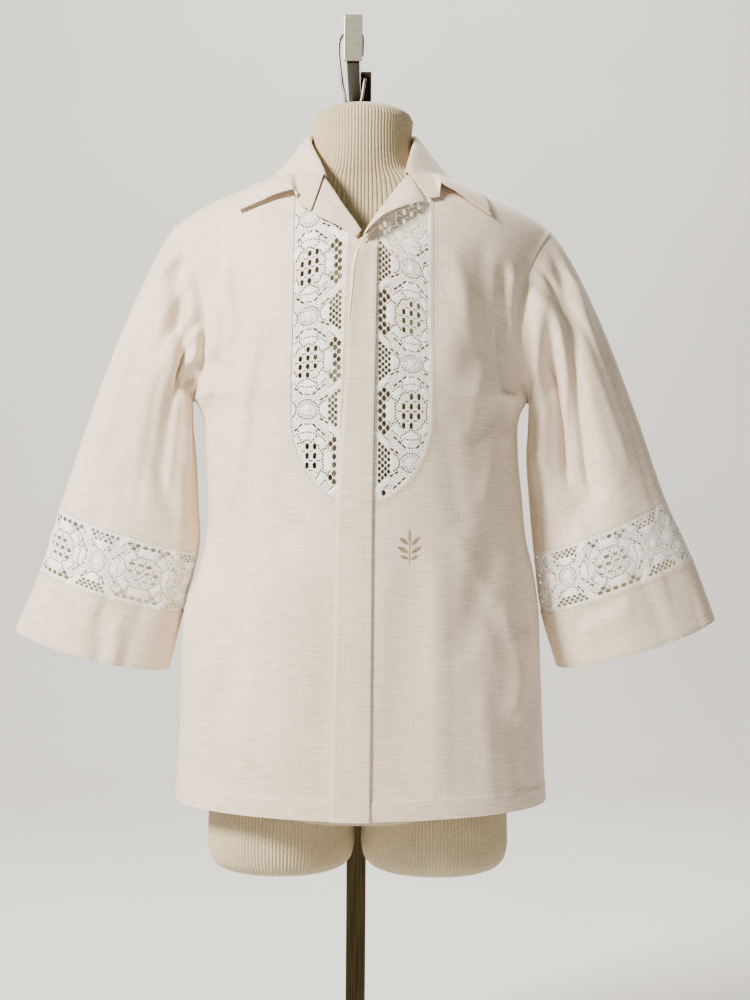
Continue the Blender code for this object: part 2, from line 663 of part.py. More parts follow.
def lace_holes(start, end, phase, low, high):
    """The open holes of a stretch of lace between its ends and its edges."""
    holes = []
    first = math.floor((start - phase) / LACE_REPEAT) - 1
    last = math.ceil((end - phase) / LACE_REPEAT) + 1
    for repeat in range(first, last + 1):
        middle = phase + repeat * LACE_REPEAT
        for across, count, shift in zip(*WAFFLE_ROWS.values()):
            for i in range(int(count)):
                along = middle + (i - (count - 1) / 2 + shift) * WAFFLE_PITCH
                holes.append(oblong(along, across, WAFFLE_HOLE))
        for along in NET_HOLES:
            for edge in (-1, 1):
                holes.append(diamond(middle + along, edge * (LACE_BAND / 2 - NET_EDGE), NET_HOLE))
    kept = []
    for hole in holes:
        if hole[:, 0].min() < start + HOLE_MARGIN or hole[:, 0].max() > end - HOLE_MARGIN:
            continue
        if hole[:, 1].min() < low + HOLE_MARGIN or hole[:, 1].max() > high - HOLE_MARGIN:
            continue
        kept.append(hole)
    return kept


BIB_SPARE = 0.0003
BIB_LACE_MIDDLE = {RIGHT: -0.0590, LEFT: 0.0585}
BIB_LACE_PHASE = {RIGHT: 0.9686, LEFT: 0.9094}
BIB_LACE_STRETCH = 1.048
BIB_LACE_SPAN = np.array([0.80, 1.21])
BIB_HOLE_MARGIN = 0.0014
BIB_LACE_SPACING = (0.018, 0.022)
SLEEVE_LACE_SPACING = (0.018, 0.018)


def make_bib_lace(side):
    outline = bib_outline(side, -HALF_SEAM - BIB_SPARE)
    holes = []
    start, end = BIB_LACE_SPAN / BIB_LACE_STRETCH
    phase = BIB_LACE_PHASE[side] / BIB_LACE_STRETCH
    for hole in lace_holes(start, end, phase, -LACE_BAND / 2, LACE_BAND / 2):
        placed = np.stack([BIB_LACE_MIDDLE[side] + hole[:, 1], hole[:, 0] * BIB_LACE_STRETCH], axis=-1)
        if inside(placed, outline).all() and off_loop(placed, outline).min() > BIB_HOLE_MARGIN:
            holes.append(placed)
    flat, triangles = cut_flat(outline, holes, BIB_LACE_SPACING)
    half = LACE_WALL / 2
    thick("bib_lace_" + SIDE_NAMES[side], body("front"), 1, flat, triangles, -half, half, LACE)


SLEEVE_LACE_PHASE = {RIGHT: 0.035, LEFT: 0.005}


def ring_turns(side, along):
    """Turns round a sleeve's ring and how far round the cloth each one is."""
    turns = run(0, 2 * np.pi, 361)
    ring = bare_sleeve(side, turns, np.full_like(turns, along))
    return turns, np.concatenate([[0], np.cumsum(np.linalg.norm(np.diff(ring, axis=0), axis=-1))])


def make_sleeve_lace(side, half_name):
    """Half of the lace tube above a cuff, laid flat as a strip."""
    turns, reach = ring_turns(side, (LACE_TOP + LACE_BOTTOM) / 2)
    halfway = np.interp(np.pi, turns, reach)
    start, end = (0, halfway) if half_name == "front" else (halfway, reach[-1])
    start, end = start + HALF_SEAM, end - HALF_SEAM
    top, bottom = SEAM, LACE_BAND - HALF_SEAM
    whole = sleeve(side)

    def strip(distance, down):
        along = LACE_TOP + (LACE_BOTTOM - LACE_TOP) * down / LACE_BAND
        return whole(np.interp(distance, reach, turns), along)

    holes = []
    for hole in lace_holes(start, end, SLEEVE_LACE_PHASE[side], -LACE_BAND / 2, LACE_BAND / 2):
        holes.append(hole + [0, LACE_BAND / 2])
    around, across = run(start, end, 16), run(top, bottom, 5)
    outline = np.concatenate(
        [
            np.stack([around, np.full_like(around, top)], axis=-1),
            np.stack([np.full_like(across, end), across], axis=-1)[1:],
            np.stack([around[::-1], np.full_like(around, bottom)], axis=-1)[1:],
            np.stack([np.full_like(across, start), across[::-1]], axis=-1)[1:-1],
        ]
    )
    flat, triangles = cut_flat(outline, holes, SLEEVE_LACE_SPACING)
    name = "sleeve_lace_" + SIDE_NAMES[side] + "_" + half_name
    half = LACE_WALL / 2
    thick(name, strip, side, flat, triangles, -half, half, LACE)


SLEEVE_TURNS = 24
SLEEVE_ROWS = 10
ARMHOLE_SPARE = 0.0002
SHARPEST_KINK = math.radians(125)
SHORT_ALONG = 0.02
LACE_TOP_SPARE = 0.0005
CUFF_TOP_SPARE = 0.001
EDGE_STEP = 0.001


def make_sleeve(side):
    """The sleeve's cloth, which starts just clear of the armhole's edge."""
    whole = sleeve(side)
    turns = 2 * np.pi * np.arange(SLEEVE_TURNS) / SLEEVE_TURNS
    zero = np.zeros_like(turns)
    out = normals(whole, side, turns, zero)
    starts = []
    for i, turn in enumerate(turns):
        panel, facing = ("front", 1) if turn <= np.pi else ("back", -1)
        climb = 1 - (turn if turn <= np.pi else 2 * np.pi - turn) / np.pi
        height = UNDERARM_H + climb * (TOP_H - UNDERARM_H)
        height = np.clip(height, UNDERARM_H + EDGE_STEP, TOP_H - EDGE_STEP)
        across = side * (outer_edge(panel, side, height)[0] - EDGE_STEP)
        panel_out = normals(body(panel), facing, np.array([across]), np.array([height]), step=5e-4)[0]
        kink = math.acos(np.clip(panel_out @ out[i], -1, 1))
        gap = SEAM + ARMHOLE_SPARE + WALL * math.tan(min(kink, SHARPEST_KINK) / 2)
        near, far = (bare_sleeve(side, turn, np.array(along)) for along in (0.0, SHORT_ALONG))
        starts.append(gap * SHORT_ALONG / np.linalg.norm(far - near))
    end = LACE_TOP - LACE_TOP_SPARE
    alongs = np.stack([start + (end - start) * run(0, 1, SLEEVE_ROWS) for start in starts])
    tube("sleeve_" + SIDE_NAMES[side], whole, side, turns, alongs, -WALL / 2, WALL / 2, CLOTH)


CUFF_WALL = 0.0022
CUFF_ROWS = 3


def make_cuff(side):
    turns = 2 * np.pi * np.arange(SLEEVE_TURNS) / SLEEVE_TURNS
    alongs = np.tile(run(LACE_BOTTOM + CUFF_TOP_SPARE, CUFF_BOTTOM, CUFF_ROWS), (SLEEVE_TURNS, 1))
    tube("cuff_" + SIDE_NAMES[side], sleeve(side), side, turns, alongs, -CUFF_WALL / 2, CUFF_WALL / 2, CLOTH)


PLACKET_WALL = 0.0016
PLACKET_REST = FRONT_OUTER + 0.0003


def make_placket():
    heights = run(PLACKET["height"][0], PLACKET["height"][-1], 22)
    left = smooth(PLACKET["height"], PLACKET["free_edge"], heights)
    seam = smooth(PLACKET["height"], PLACKET["seam"], heights)
    shares = np.array([0, 0.03, 0.35, 0.68, 1.0])
    across = left[:, None] + (seam - left)[:, None] * shares
    flat, triangles = grid_flat(across, np.repeat(heights[:, None], len(shares), axis=1))
    triangles = triangles[:, ::-1]

    def low(a, b):
        lip = ease((HEM_Z + HEM_HEIGHT - b) / 0.02)
        return PLACKET_REST + HEM_EXTRA * lip

    def high(a, b):
        return low(a, b) + PLACKET_WALL

    thick("placket", body("front"), 1, flat, triangles, low, high, CLOTH)


# The lapels, from the break up to the collar: the roll line, and the outer edge on the front.
LAPELS = {
    RIGHT: table(
        "height edge_across edge_height",
        (1.1140, 0.0060, 1.1060),
        (1.1300, 0.0210, 1.1180),
        (1.1460, 0.0370, 1.1290),
        (1.1660, 0.0500, 1.1380),
        (1.1830, 0.0562, 1.1446),
    ),
    LEFT: table(
        "height edge_across edge_height",
        (1.1135, 0.0020, 1.1035),
        (1.1250, 0.0120, 1.1140),
        (1.1460, 0.0300, 1.1300),
        (1.1660, 0.0530, 1.1470),
        (1.1905, 0.0755, 1.1625),
    ),
}
LAPEL_WALL = 0.0015
LAPEL_REST = FRONT_OUTER + 0.0003
ROLL_FLAT, ROLL_RISE = 0.0010, 0.0026
ROLL_CLEAR = 0.0002
ROLL_THINNER = 0.0008
OVER_PLACKET_OUT, OVER_PLACKET_RAMP = 0.034, 0.012


def make_lapel(side):
    """A turned-back lapel: it lies on the front and wraps over the front's edge at the roll line."""
    shape = LAPELS[side]
    spots = run(0, len(shape["height"]) - 1, 10)
    keys = np.arange(len(shape["height"]), dtype=float)
    heights = smooth(keys, shape["height"], spots)
    roll = inner_edge(side, heights) + ROLL_CLEAR
    edge_across = smooth(keys, shape["edge_across"], spots)
    edge_height = smooth(keys, shape["edge_height"], spots)
    width = np.hypot(edge_across - roll, edge_height - heights)
    shares = np.stack([0 * width, ROLL_FLAT / width, ROLL_RISE / width, 0.45 + 0 * width, 1 + 0 * width])
    shares = np.sort(np.clip(shares, 0, 1), axis=0).T
    across = roll[:, None] + (edge_across - roll)[:, None] * shares
    height = heights[:, None] + (edge_height - heights)[:, None] * shares
    flat, triangles = grid_flat(side * across, height)
    if side == LEFT:
        triangles = triangles[:, ::-1]
    over_placket = PLACKET_REST + PLACKET_WALL + REST_GAP - LAPEL_REST if side == LEFT else 0.0
    rises = LAPEL_REST + over_placket * ease((OVER_PLACKET_OUT - across) / OVER_PLACKET_RAMP)
    off_roll = np.clip((shares * width[:, None] - ROLL_FLAT) / (ROLL_RISE - ROLL_FLAT), 0, 1)
    wrap = (-WALL / 2 + (rises + WALL / 2) * off_roll).ravel()
    top = (rises + LAPEL_WALL - ROLL_THINNER * (1 - off_roll)).ravel()
    thick(
        "lapel_" + SIDE_NAMES[side], body("front"), 1, flat, triangles,
        lambda a, b: wrap, lambda a, b: top, CLOTH,
    )


# The collar from its front end (0) to the middle of the back (1): the neck seam, the fold at the
# top and the outer edge, which then rests on the shirt.
COLLAR = table(
    "share seam_x seam_y seam_z fold_x fold_y fold_z edge_x edge_y edge_z",
    (0.00, 0.0465, -0.0775, 1.1800, 0.0470, -0.0785, 1.1850, 0.1440, -0.0640, 1.1440),
    (0.20, 0.0580, -0.0540, 1.1950, 0.0550, -0.0560, 1.2110, 0.1330, -0.0420, 1.1650),
    (0.50, 0.0712, 0.0000, 1.2095, 0.0632, -0.0050, 1.2505, 0.1105, 0.0000, 1.1990),
    (0.75, 0.0530, 0.0500, 1.2065, 0.0480, 0.0430, 1.2580, 0.0830, 0.0720, 1.1920),
    (1.00, 0.0000, 0.0735, 1.2010, 0.0000, 0.0630, 1.2610, 0.0000, 0.0930, 1.1900),
)
COLLAR_WALL = 0.0015
COLLAR_REST = WALL / 2 + 0.0011 + COLLAR_WALL / 2
COLLAR_END_REST = 0.0018
COLLAR_ROWS = (0.03, 0.12, 0.28, 0.41, 0.51, 0.68, 0.84, 1.0)
COLLAR_SHIFT = {RIGHT: (0.0045, 0.0, 0.0020), LEFT: (0.0045, 0.0040, 0.0070)}

# Where the collar's front end lies on the front: down the gorge, round the notch, out to the point.
COLLAR_ENDS = {
    RIGHT: table(
        "share across height lift",
        (0.00, 0.0405, 1.1860, 0.0),
        (0.12, 0.0492, 1.1690, 0.0),
        (0.28, 0.0580, 1.1470, 0.0),
        (0.41, 0.0720, 1.1570, 0.0),
        (0.51, 0.0772, 1.1715, 0.0),
        (1.00, 0.1461, 1.1774, 0.003),
    ),
    LEFT: table(
        "share across height lift",
        (0.00, 0.0536, 1.1945, 0.0),
        (0.12, 0.0630, 1.1810, 0.0),
        (0.28, 0.0775, 1.1655, 0.0),
        (0.41, 0.0913, 1.1723, 0.0),
        (0.51, 0.0910, 1.1835, 0.0),
        (1.00, 0.1543, 1.1766, 0.003),
    ),
}
COLLAR_END_FADE = 0.15
STAND_ROWS = run(0, 1, 4)
COLLAR_SPOTS = np.concatenate([run(0, 0.16, 4), run(0.16, 1, 9)[1:]])


def closest_on(panel, points):
    """Where on a panel's surface each point is nearest: across and height."""
    surface = body(panel)
    across, height = np.meshgrid(run(-0.24, 0.24, 49), run(1.04, TOP_H, 40))
    across, height = across.ravel(), height.ravel()
    spread = surface(across, height)
    nearest = np.linalg.norm(points[:, None] - spread[None], axis=-1).argmin(axis=1)
    a, b = across[nearest], height[nearest]
    step = 5e-4
    for _ in range(8):
        middle = surface(a, b)
        run_a = (surface(a + step, b) - surface(a - step, b)) / (2 * step)
        run_b = (surface(a, b + step) - surface(a, b - step)) / (2 * step)
        away = points - middle
        aa, bb, ab = (run_a * run_a).sum(-1), (run_b * run_b).sum(-1), (run_a * run_b).sum(-1)
        pa, pb = (away * run_a).sum(-1), (away * run_b).sum(-1)
        spare = np.maximum(aa * bb - ab * ab, 1e-9)
        a = a + np.clip((pa * bb - pb * ab) / spare, -0.01, 0.01)
        b = np.clip(b + np.clip((pb * aa - pa * ab) / spare, -0.01, 0.01), 1.0, TOP_H)
    return a, b


def clear_of_shirt(points, gap, way=1):
    """The points, moved out of the shirt (way 1) or into it (-1) where they lie nearer than the gap."""
    for panel, facing in (("front", 1), ("back", -1)):
        a, b = closest_on(panel, points)
        surface = body(panel)
        out = normals(surface, facing * way, a, b, step=5e-4)
        height = ((points - surface(a, b)) * out).sum(-1)
        mine = points[:, 1] < 0.002 if panel == "front" else points[:, 1] > -0.002
        short = np.where(mine & (height < gap), gap - height, 0)
        points = points + out * short[:, None]
    return points


def collar_end(side):
    """The collar's front end, row by row."""
    end = COLLAR_ENDS[side]
    across = np.interp(COLLAR_ROWS, end["share"], end["across"])
    height = np.interp(COLLAR_ROWS, end["share"], end["height"])
    lift = np.interp(COLLAR_ROWS, end["share"], end["lift"])
    front = body("front")
    out = normals(front, 1, side * across, height, step=5e-4)
    return front(side * across, height) + out * (COLLAR_REST + COLLAR_END_REST + lift)[:, None]


def collar_columns(half):
    """The collar's middle surface: a column of points for each place round the neck."""
    ends = {side: collar_end(side) for side in (RIGHT, LEFT)}
    rows = np.array(COLLAR_ROWS)[:, None]
    shares = np.concatenate([half, (2 - half[:-1])[::-1]])
    columns = []
    for share in shares:
        place = min(share, 2 - share)
        side = RIGHT if share <= 1 else LEFT
        seam, fold, edge = (
            np.array([smooth(COLLAR["share"], COLLAR[piece + axis], place) for axis in ("_x", "_y", "_z")])
            for piece in ("seam", "fold", "edge")
        )
        shift = np.array(COLLAR_SHIFT[side]) * ease(1 - place / 0.4)
        seam, fold, edge = (point * [side, 1, 1] for point in (seam, fold, edge))
        seam, fold = seam + shift, fold + shift
        outward = unit((edge - fold) * [1, 1, 0])
        rise = np.linalg.norm(fold - seam)
        tight = min(0.006, 0.45 * rise)
        up = bezier((seam, seam + 0.4 * (fold - seam), fold - outward * tight, fold), STAND_ROWS[:, None])
        reach = np.linalg.norm(edge - fold)
        away = fold + outward * 0.10 * reach
        landing = edge + 0.45 * (fold - edge) * [1, 1, 0.45]
        down = bezier((fold, away, landing, edge), rows)
        down = down + (ends[side] - down) * ease(1 - place / COLLAR_END_FADE) * ease(rows / 0.12)
        columns.append(np.concatenate([up, down]))
    return np.array(columns)


def thick_grid(name, middle, low, high, finish):
    """A solid wall on both sides of a grid of points."""
    run_a, run_b = np.gradient(middle, axis=0), np.gradient(middle, axis=1)
    out = unit(np.cross(run_a, run_b))
    columns, rows = middle.shape[:2]
    points = np.concatenate([(middle + out * high).reshape(-1, 3), (middle + out * low).reshape(-1, 3)])
    _, triangles = grid_flat(np.arange(columns), np.arange(rows)[None])
    count = columns * rows
    faces = [tuple(face) for face in triangles.tolist()]
    faces += [(c + count, b + count, a + count) for a, b, c in triangles.tolist()]
    faces += [(b, a, a + count, b + count) for a, b in rim_of(triangles)]
    return add_object(name, points, faces, finish)


def make_collar():
    middle = collar_columns(COLLAR_SPOTS)
    fall = middle[:, len(STAND_ROWS):]
    places = np.concatenate([COLLAR_SPOTS, COLLAR_SPOTS[:-1][::-1]])
    rest = COLLAR_REST + COLLAR_END_REST * ease(1 - places / 0.3)
    rest = np.repeat(rest, fall.shape[1])
    middle[:, len(STAND_ROWS):] = clear_of_shirt(fall.reshape(-1, 3), rest).reshape(fall.shape)
    thick_grid("collar", middle, -COLLAR_WALL / 2, COLLAR_WALL / 2, CLOTH)


# The dress form: sections from the hips to the top of the neck, and two rounded thigh ends.
FORM_LOW = table(
    "height half_width front back",
    (0.4350, 0.1500, 0.0640, 0.0690),
    (0.4400, 0.1660, 0.0800, 0.0850),
    (0.4500, 0.1765, 0.0950, 0.1000),
    (0.5200, 0.1780, 0.1000, 0.1080),
    (0.6200, 0.1660, 0.0980, 0.1020),
    (0.7200, 0.1520, 0.0960, 0.0940),
    (0.8000, 0.1490, 0.0980, 0.0900),
    (0.9000, 0.1600, 0.1060, 0.0960),
    (1.0000, 0.1720, 0.1090, 0.1010),
    (1.0600, 0.1850, 0.1010, 0.0980),
    (1.1000, 0.2030, 0.0850, 0.0880),
    (1.1230, 0.2110, 0.0660, 0.0710),
)
FORM_SHOULDERS = table(
    "height front back",
    (1.1380, 0.0560, 0.0610),
    (1.1500, 0.0520, 0.0580),
    (1.1620, 0.0500, 0.0560),
    (1.1740, 0.0495, 0.0550),
    (1.1860, 0.0500, 0.0550),
    (1.1960, 0.0510, 0.0560),
    (1.2030, 0.0520, 0.0570),
)
FORM_NECK = table(
    "height half_width front back",
    (1.2060, 0.0680, 0.0530, 0.0575),
    (1.2130, 0.0625, 0.0550, 0.0575),
    (1.2300, 0.0590, 0.0570, 0.0570),
    (1.2560, 0.0588, 0.0585, 0.0575),
    (1.2700, 0.0600, 0.0590, 0.0585),
    (1.2760, 0.0560, 0.0555, 0.0550),
    (1.2840, 0.0380, 0.0375, 0.0375),
    (1.2885, 0.0120, 0.0120, 0.0120),
)
FORM_SEGMENTS = 28
FORM_CLEAR = WALL / 2 + 0.0018
FORM_LOOSE_X, FORM_LOOSE_TOP = 0.052, 1.2065
THIGH_X = 0.0915
THIGH = table(
    "height half_width half_depth",
    (0.3732, 0.0560, 0.0560),
    (0.3757, 0.0700, 0.0690),
    (0.3832, 0.0800, 0.0780),
    (0.3972, 0.0855, 0.0830),
    (0.4222, 0.0865, 0.0850),
    (0.4582, 0.0850, 0.0840),
)
THIGH_Y = 0.004
THIGH_SEGMENTS = 22


def shoulder_line():
    """Half widths of the form where it carries the shirt's shoulder seams."""
    across = run(0.072, 0.226, 60)
    points = body("front")(across, np.full(60, TOP_H))
    slope = np.gradient(points[:, 2]) / np.gradient(points[:, 0])
    out = unit(np.stack([-slope, np.ones(60)], axis=-1))
    x = points[:, 0] - out[:, 0] * FORM_CLEAR
    z = points[:, 2] - out[:, 1] * FORM_CLEAR
    return np.interp(FORM_SHOULDERS["height"], z[::-1], x[::-1])


def ring_points(centre_x, centre_y, height, half_width, front, back, segments):
    turns = 2 * np.pi * np.arange(segments) / segments
    depth = np.where(np.sin(turns) < 0, front, back)
    return [
        (centre_x + half_width * math.cos(turn), centre_y + deep * math.sin(turn), height)
        for turn, deep in zip(turns, depth)
    ]


def stack_of_rings(name, rings, finish):
    """A closed solid through rings of equal size, capped at both ends."""
    count = len(rings[0])
    points = [point for ring in rings for point in ring]
    faces = [tuple(range(count))[::-1]]
    for i in range(len(rings) - 1):
        low, high = i * count, (i + 1) * count
        faces += [(low + j, low + (j + 1) % count, high + (j + 1) % count, high + j) for j in range(count)]
    faces.append(tuple(range((len(rings) - 1) * count, len(rings) * count)))
    return add_object(name, points, faces, finish)


def make_form():
    sections = list(zip(FORM_LOW["height"], FORM_LOW["half_width"], FORM_LOW["front"], FORM_LOW["back"]))
    widths = shoulder_line()
    sections += list(zip(FORM_SHOULDERS["height"], widths, FORM_SHOULDERS["front"], FORM_SHOULDERS["back"]))
    sections += list(zip(FORM_NECK["height"], FORM_NECK["half_width"], FORM_NECK["front"], FORM_NECK["back"]))
    rings = np.array([ring_points(0, 0, *section, FORM_SEGMENTS) for section in sections])
    x, z = rings[..., 0], rings[..., 2]
    worn = (np.abs(x) > FORM_LOOSE_X) & (z > UNDERARM_H) & (z < FORM_LOOSE_TOP)
    rings[worn] = clear_of_shirt(rings[worn], FORM_CLEAR, way=-1)
    form = stack_of_rings("form", rings.tolist(), JERSEY)
    for side in (RIGHT, LEFT):
        rings = [
            ring_points(side * THIGH_X, THIGH_Y, height, wide, deep, deep, THIGH_SEGMENTS)
            for height, wide, deep in zip(THIGH["height"], THIGH["half_width"], THIGH["half_depth"])
        ]
        thigh = stack_of_rings("thigh_" + SIDE_NAMES[side], rings, JERSEY)
        thigh.hide_render = True
        thigh.display_type = "WIRE"
        join = form.modifiers.new("join " + thigh.name, "BOOLEAN")
        join.operation = "UNION"
        join.object = thigh


# The stand: a flat base and post, an arm with its end plate, and the wire hook of the form.
BASE_SIZE = (0.360, 0.380, 0.010)
BASE_CORNER = 0.020
POST_WIDTH, POST_DEPTH = 0.025, 0.010
POST_X = -0.003
POST_FACE_Y = 0.146
POST_TOP = 1.3745
ARM_SIZE = (0.015, 0.0435)
ARM_X = -0.0117
PLATE_SIZE = (0.022, 0.004, 0.055)
PLATE_Y = -0.034
PLATE_TOP = 1.388
ARM_TOP = 1.3745
HOOK_WIRE = 0.0036
HOOK_ROUTE = table(
    "x y z",
    (0.0024, 0.000, 1.3231),
    (0.0010, 0.000, 1.3130),
    (-0.0010, 0.000, 1.3000),
    (-0.0026, 0.000, 1.2940),
    (-0.0060, 0.000, 1.2912),
    (-0.0115, 0.000, 1.2908),
    (-0.0170, 0.000, 1.2914),
    (-0.0205, 0.000, 1.2950),
    (-0.0228, 0.000, 1.3060),
    (-0.0252, 0.000, 1.3180),
    (-0.0281, 0.000, 1.3380),
    (-0.0298, 0.000, 1.3570),
    (-0.0290, 0.000, 1.3670),
    (-0.0262, 0.000, 1.3735),
    (-0.0205, 0.000, 1.3768),
    (-0.0117, 0.000, 1.3773),
    (-0.0050, 0.000, 1.3771),
    (-0.0012, 0.000, 1.3742),
    (-0.0006, 0.000, 1.3672),
    (-0.0008, 0.000, 1.3580),
    (-0.0010, 0.000, 1.3500),
)


def block(name, low, high, bevel, finish):
    """A box between two corners with its edges rounded."""
    low, high = np.array(low), np.array(high)
    points = [tuple(np.where(pick, high, low)) for pick in np.ndindex(2, 2, 2)]
    faces = [(0, 1, 3, 2), (4, 6, 7, 5), (0, 4, 5, 1), (2, 3, 7, 6), (0, 2, 6, 4), (1, 5, 7, 3)]
    made = add_object(name, points, faces, finish)
    if bevel:
        rounding = made.modifiers.new("rounded edges", "BEVEL")
        rounding.width = bevel
        rounding.segments = 2
    return made


def make_stand():
    half_x, half_y, thickness = BASE_SIZE[0] / 2, BASE_SIZE[1] / 2, BASE_SIZE[2]
    corners = []
    for corner_x, corner_y, start in ((1, 1, 0), (-1, 1, 90), (-1, -1, 180), (1, -1, 270)):
        for step in range(5):
            turn = math.radians(start + step * 22.5)
            corners.append(
                (
                    corner_x * (half_x - BASE_CORNER) + BASE_CORNER * math.cos(turn),
                    corner_y * (half_y - BASE_CORNER) + BASE_CORNER * math.sin(turn),
                )
            )
    rings = [[(x, y, z) for x, y in corners] for z in (0.0, thickness)]
    stack_of_rings("base", rings, STEEL)
    post_low = (POST_X - POST_WIDTH / 2, POST_FACE_Y, thickness + SEAM)
    post_high = (POST_X + POST_WIDTH / 2, POST_FACE_Y + POST_DEPTH, POST_TOP)
    block("post", post_low, post_high, 0.001, STEEL)
    arm_low = (ARM_X - ARM_SIZE[0] / 2, PLATE_Y + SEAM, ARM_TOP - ARM_SIZE[1])
    block("arm", arm_low, (ARM_X + ARM_SIZE[0] / 2, POST_FACE_Y - SEAM, ARM_TOP), 0, STEEL)
    plate_low = (ARM_X - PLATE_SIZE[0] / 2, PLATE_Y - PLATE_SIZE[1], PLATE_TOP - PLATE_SIZE[2])
    block("end_plate", plate_low, (ARM_X + PLATE_SIZE[0] / 2, PLATE_Y, PLATE_TOP), 0.0008, STEEL)
    curve = bpy.data.curves.new("hook", "CURVE")
    curve.dimensions = "3D"
    curve.bevel_depth = HOOK_WIRE / 2
    curve.bevel_resolution = 1
    curve.use_fill_caps = True
    keys = np.arange(len(HOOK_ROUTE["x"]), dtype=float)
    spots = run(0, keys[-1], 34)
    spline = curve.splines.new("POLY")
    spline.points.add(len(spots) - 1)
    for point, spot in zip(spline.points, spots):
        point.co = (*(smooth(keys, HOOK_ROUTE[axis], spot) for axis in "xyz"), 1)
    hook = bpy.data.objects.new("hook", curve)
    curve.materials.append(WIRE)
    bpy.context.scene.collection.objects.link(hook)


def main():
    for side in (RIGHT, LEFT):
        make_front(side)
        make_bib_lace(side)
        make_sleeve(side)
        make_sleeve_lace(side, "front")
        make_sleeve_lace(side, "back")
        make_cuff(side)
        make_lapel(side)
    make_back()
    make_placket()
    make_collar()
    make_form()
    make_stand()


main()
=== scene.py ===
"""Looks for the cream lace-inset shirt on its hanging form and steel stand.

Metres, +Z up, the wearer faces -Y. The cloth pieces repeat the solids' own surfaces at a finer
spacing, with their creases, weave, stitching and open lacework.
"""

import json
import math

import bpy
import numpy as np
from mathutils import Matrix, Vector
from mathutils.geometry import delaunay_2d_cdt

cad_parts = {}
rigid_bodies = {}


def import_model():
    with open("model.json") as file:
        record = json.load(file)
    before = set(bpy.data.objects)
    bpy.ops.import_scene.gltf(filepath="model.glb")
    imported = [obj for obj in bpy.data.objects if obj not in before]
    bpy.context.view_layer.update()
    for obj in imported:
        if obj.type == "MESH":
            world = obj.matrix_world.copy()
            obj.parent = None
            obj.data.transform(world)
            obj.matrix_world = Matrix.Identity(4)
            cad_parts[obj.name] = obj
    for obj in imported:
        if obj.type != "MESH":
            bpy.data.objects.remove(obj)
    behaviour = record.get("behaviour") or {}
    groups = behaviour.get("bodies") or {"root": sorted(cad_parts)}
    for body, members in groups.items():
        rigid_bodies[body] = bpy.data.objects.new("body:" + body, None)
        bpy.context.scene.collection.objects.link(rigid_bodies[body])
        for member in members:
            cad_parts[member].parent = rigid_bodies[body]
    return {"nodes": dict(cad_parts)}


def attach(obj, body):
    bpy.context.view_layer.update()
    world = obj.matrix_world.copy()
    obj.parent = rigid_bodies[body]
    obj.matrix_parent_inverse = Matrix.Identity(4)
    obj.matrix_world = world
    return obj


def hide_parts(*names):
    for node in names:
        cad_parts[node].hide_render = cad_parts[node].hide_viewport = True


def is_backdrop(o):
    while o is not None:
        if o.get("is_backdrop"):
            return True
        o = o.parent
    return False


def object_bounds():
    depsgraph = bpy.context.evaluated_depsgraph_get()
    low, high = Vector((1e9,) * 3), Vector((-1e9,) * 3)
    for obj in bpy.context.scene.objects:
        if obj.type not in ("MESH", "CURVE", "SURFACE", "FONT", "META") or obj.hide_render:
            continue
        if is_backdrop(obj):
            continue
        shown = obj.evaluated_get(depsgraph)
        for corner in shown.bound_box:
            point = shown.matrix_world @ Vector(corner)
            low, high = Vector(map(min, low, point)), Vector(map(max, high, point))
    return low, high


for thing in list(bpy.data.objects):
    bpy.data.objects.remove(thing, do_unlink=True)

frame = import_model()
cad_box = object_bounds()

RIGHT, LEFT = -1, 1
SIDE_NAMES = {RIGHT: "right", LEFT: "left"}


def sided(name, side):
    """A name that ends with the wearer's right or left."""
    return f"{name}_{SIDE_NAMES[side]}"


# Cloth
WALL = 0.0015
SEAM = 0.0003
REST_GAP = 0.0006
HEM_HEIGHT = 0.022

# Heights of the shirt on the stand
HEM_Z = 0.4505
UNDERARM_H = 0.929
BREAK_H = 1.108
BACK_NECK_H = 1.200
TOP_H = 1.262

# Lace
LACE_BAND = 0.0765


def table(columns, *rows):
    """The columns of a table as arrays, by name."""
    values = np.array(rows, dtype=float)
    return {name: values[:, i] for i, name in enumerate(columns.split())}


def rows_of(shape):
    """A table's rows, one after the other."""
    return zip(*shape.values())


def run(start, end, count):
    return np.linspace(start, end, count)


def full_turn(count):
    """Evenly spaced turns that go once round."""
    return 2 * np.pi * np.arange(count) / count


def together(*columns):
    """Columns of coordinates as points."""
    return np.stack(columns, axis=-1)


def length_of(path):
    return float(np.linalg.norm(np.diff(path, axis=0), axis=-1).sum())


def reach_along(path):
    """How far along a path each of its points lies."""
    return np.concatenate([[0], np.cumsum(np.linalg.norm(np.diff(path, axis=0), axis=-1))])


def read_at(spots, reach, path):
    """The points of a path that lie at other distances along it."""
    return together(*[np.interp(spots, reach, column) for column in path.T])


def smooth(keys, values, at):
    """A smooth curve through the values at the keys, read at other keys."""
    steps = np.diff(keys)
    slopes = np.diff(values) / steps
    inner = (slopes[:-1] * steps[1:] + slopes[1:] * steps[:-1]) / (steps[1:] + steps[:-1])
    tangents = np.concatenate([slopes[:1], inner, slopes[-1:]])
    at = np.clip(at, keys[0], keys[-1])
    i = np.clip(np.searchsorted(keys, at, side="right") - 1, 0, len(steps) - 1)
    t = (at - keys[i]) / steps[i]
    start, end = values[i], values[i + 1]
    start_pull, end_pull = tangents[i] * steps[i], tangents[i + 1] * steps[i]
    return (
        start * (2 * t**3 - 3 * t**2 + 1)
        + start_pull * (t**3 - 2 * t**2 + t)
        + end * (3 * t**2 - 2 * t**3)
        + end_pull * (t**3 - t**2)
    )


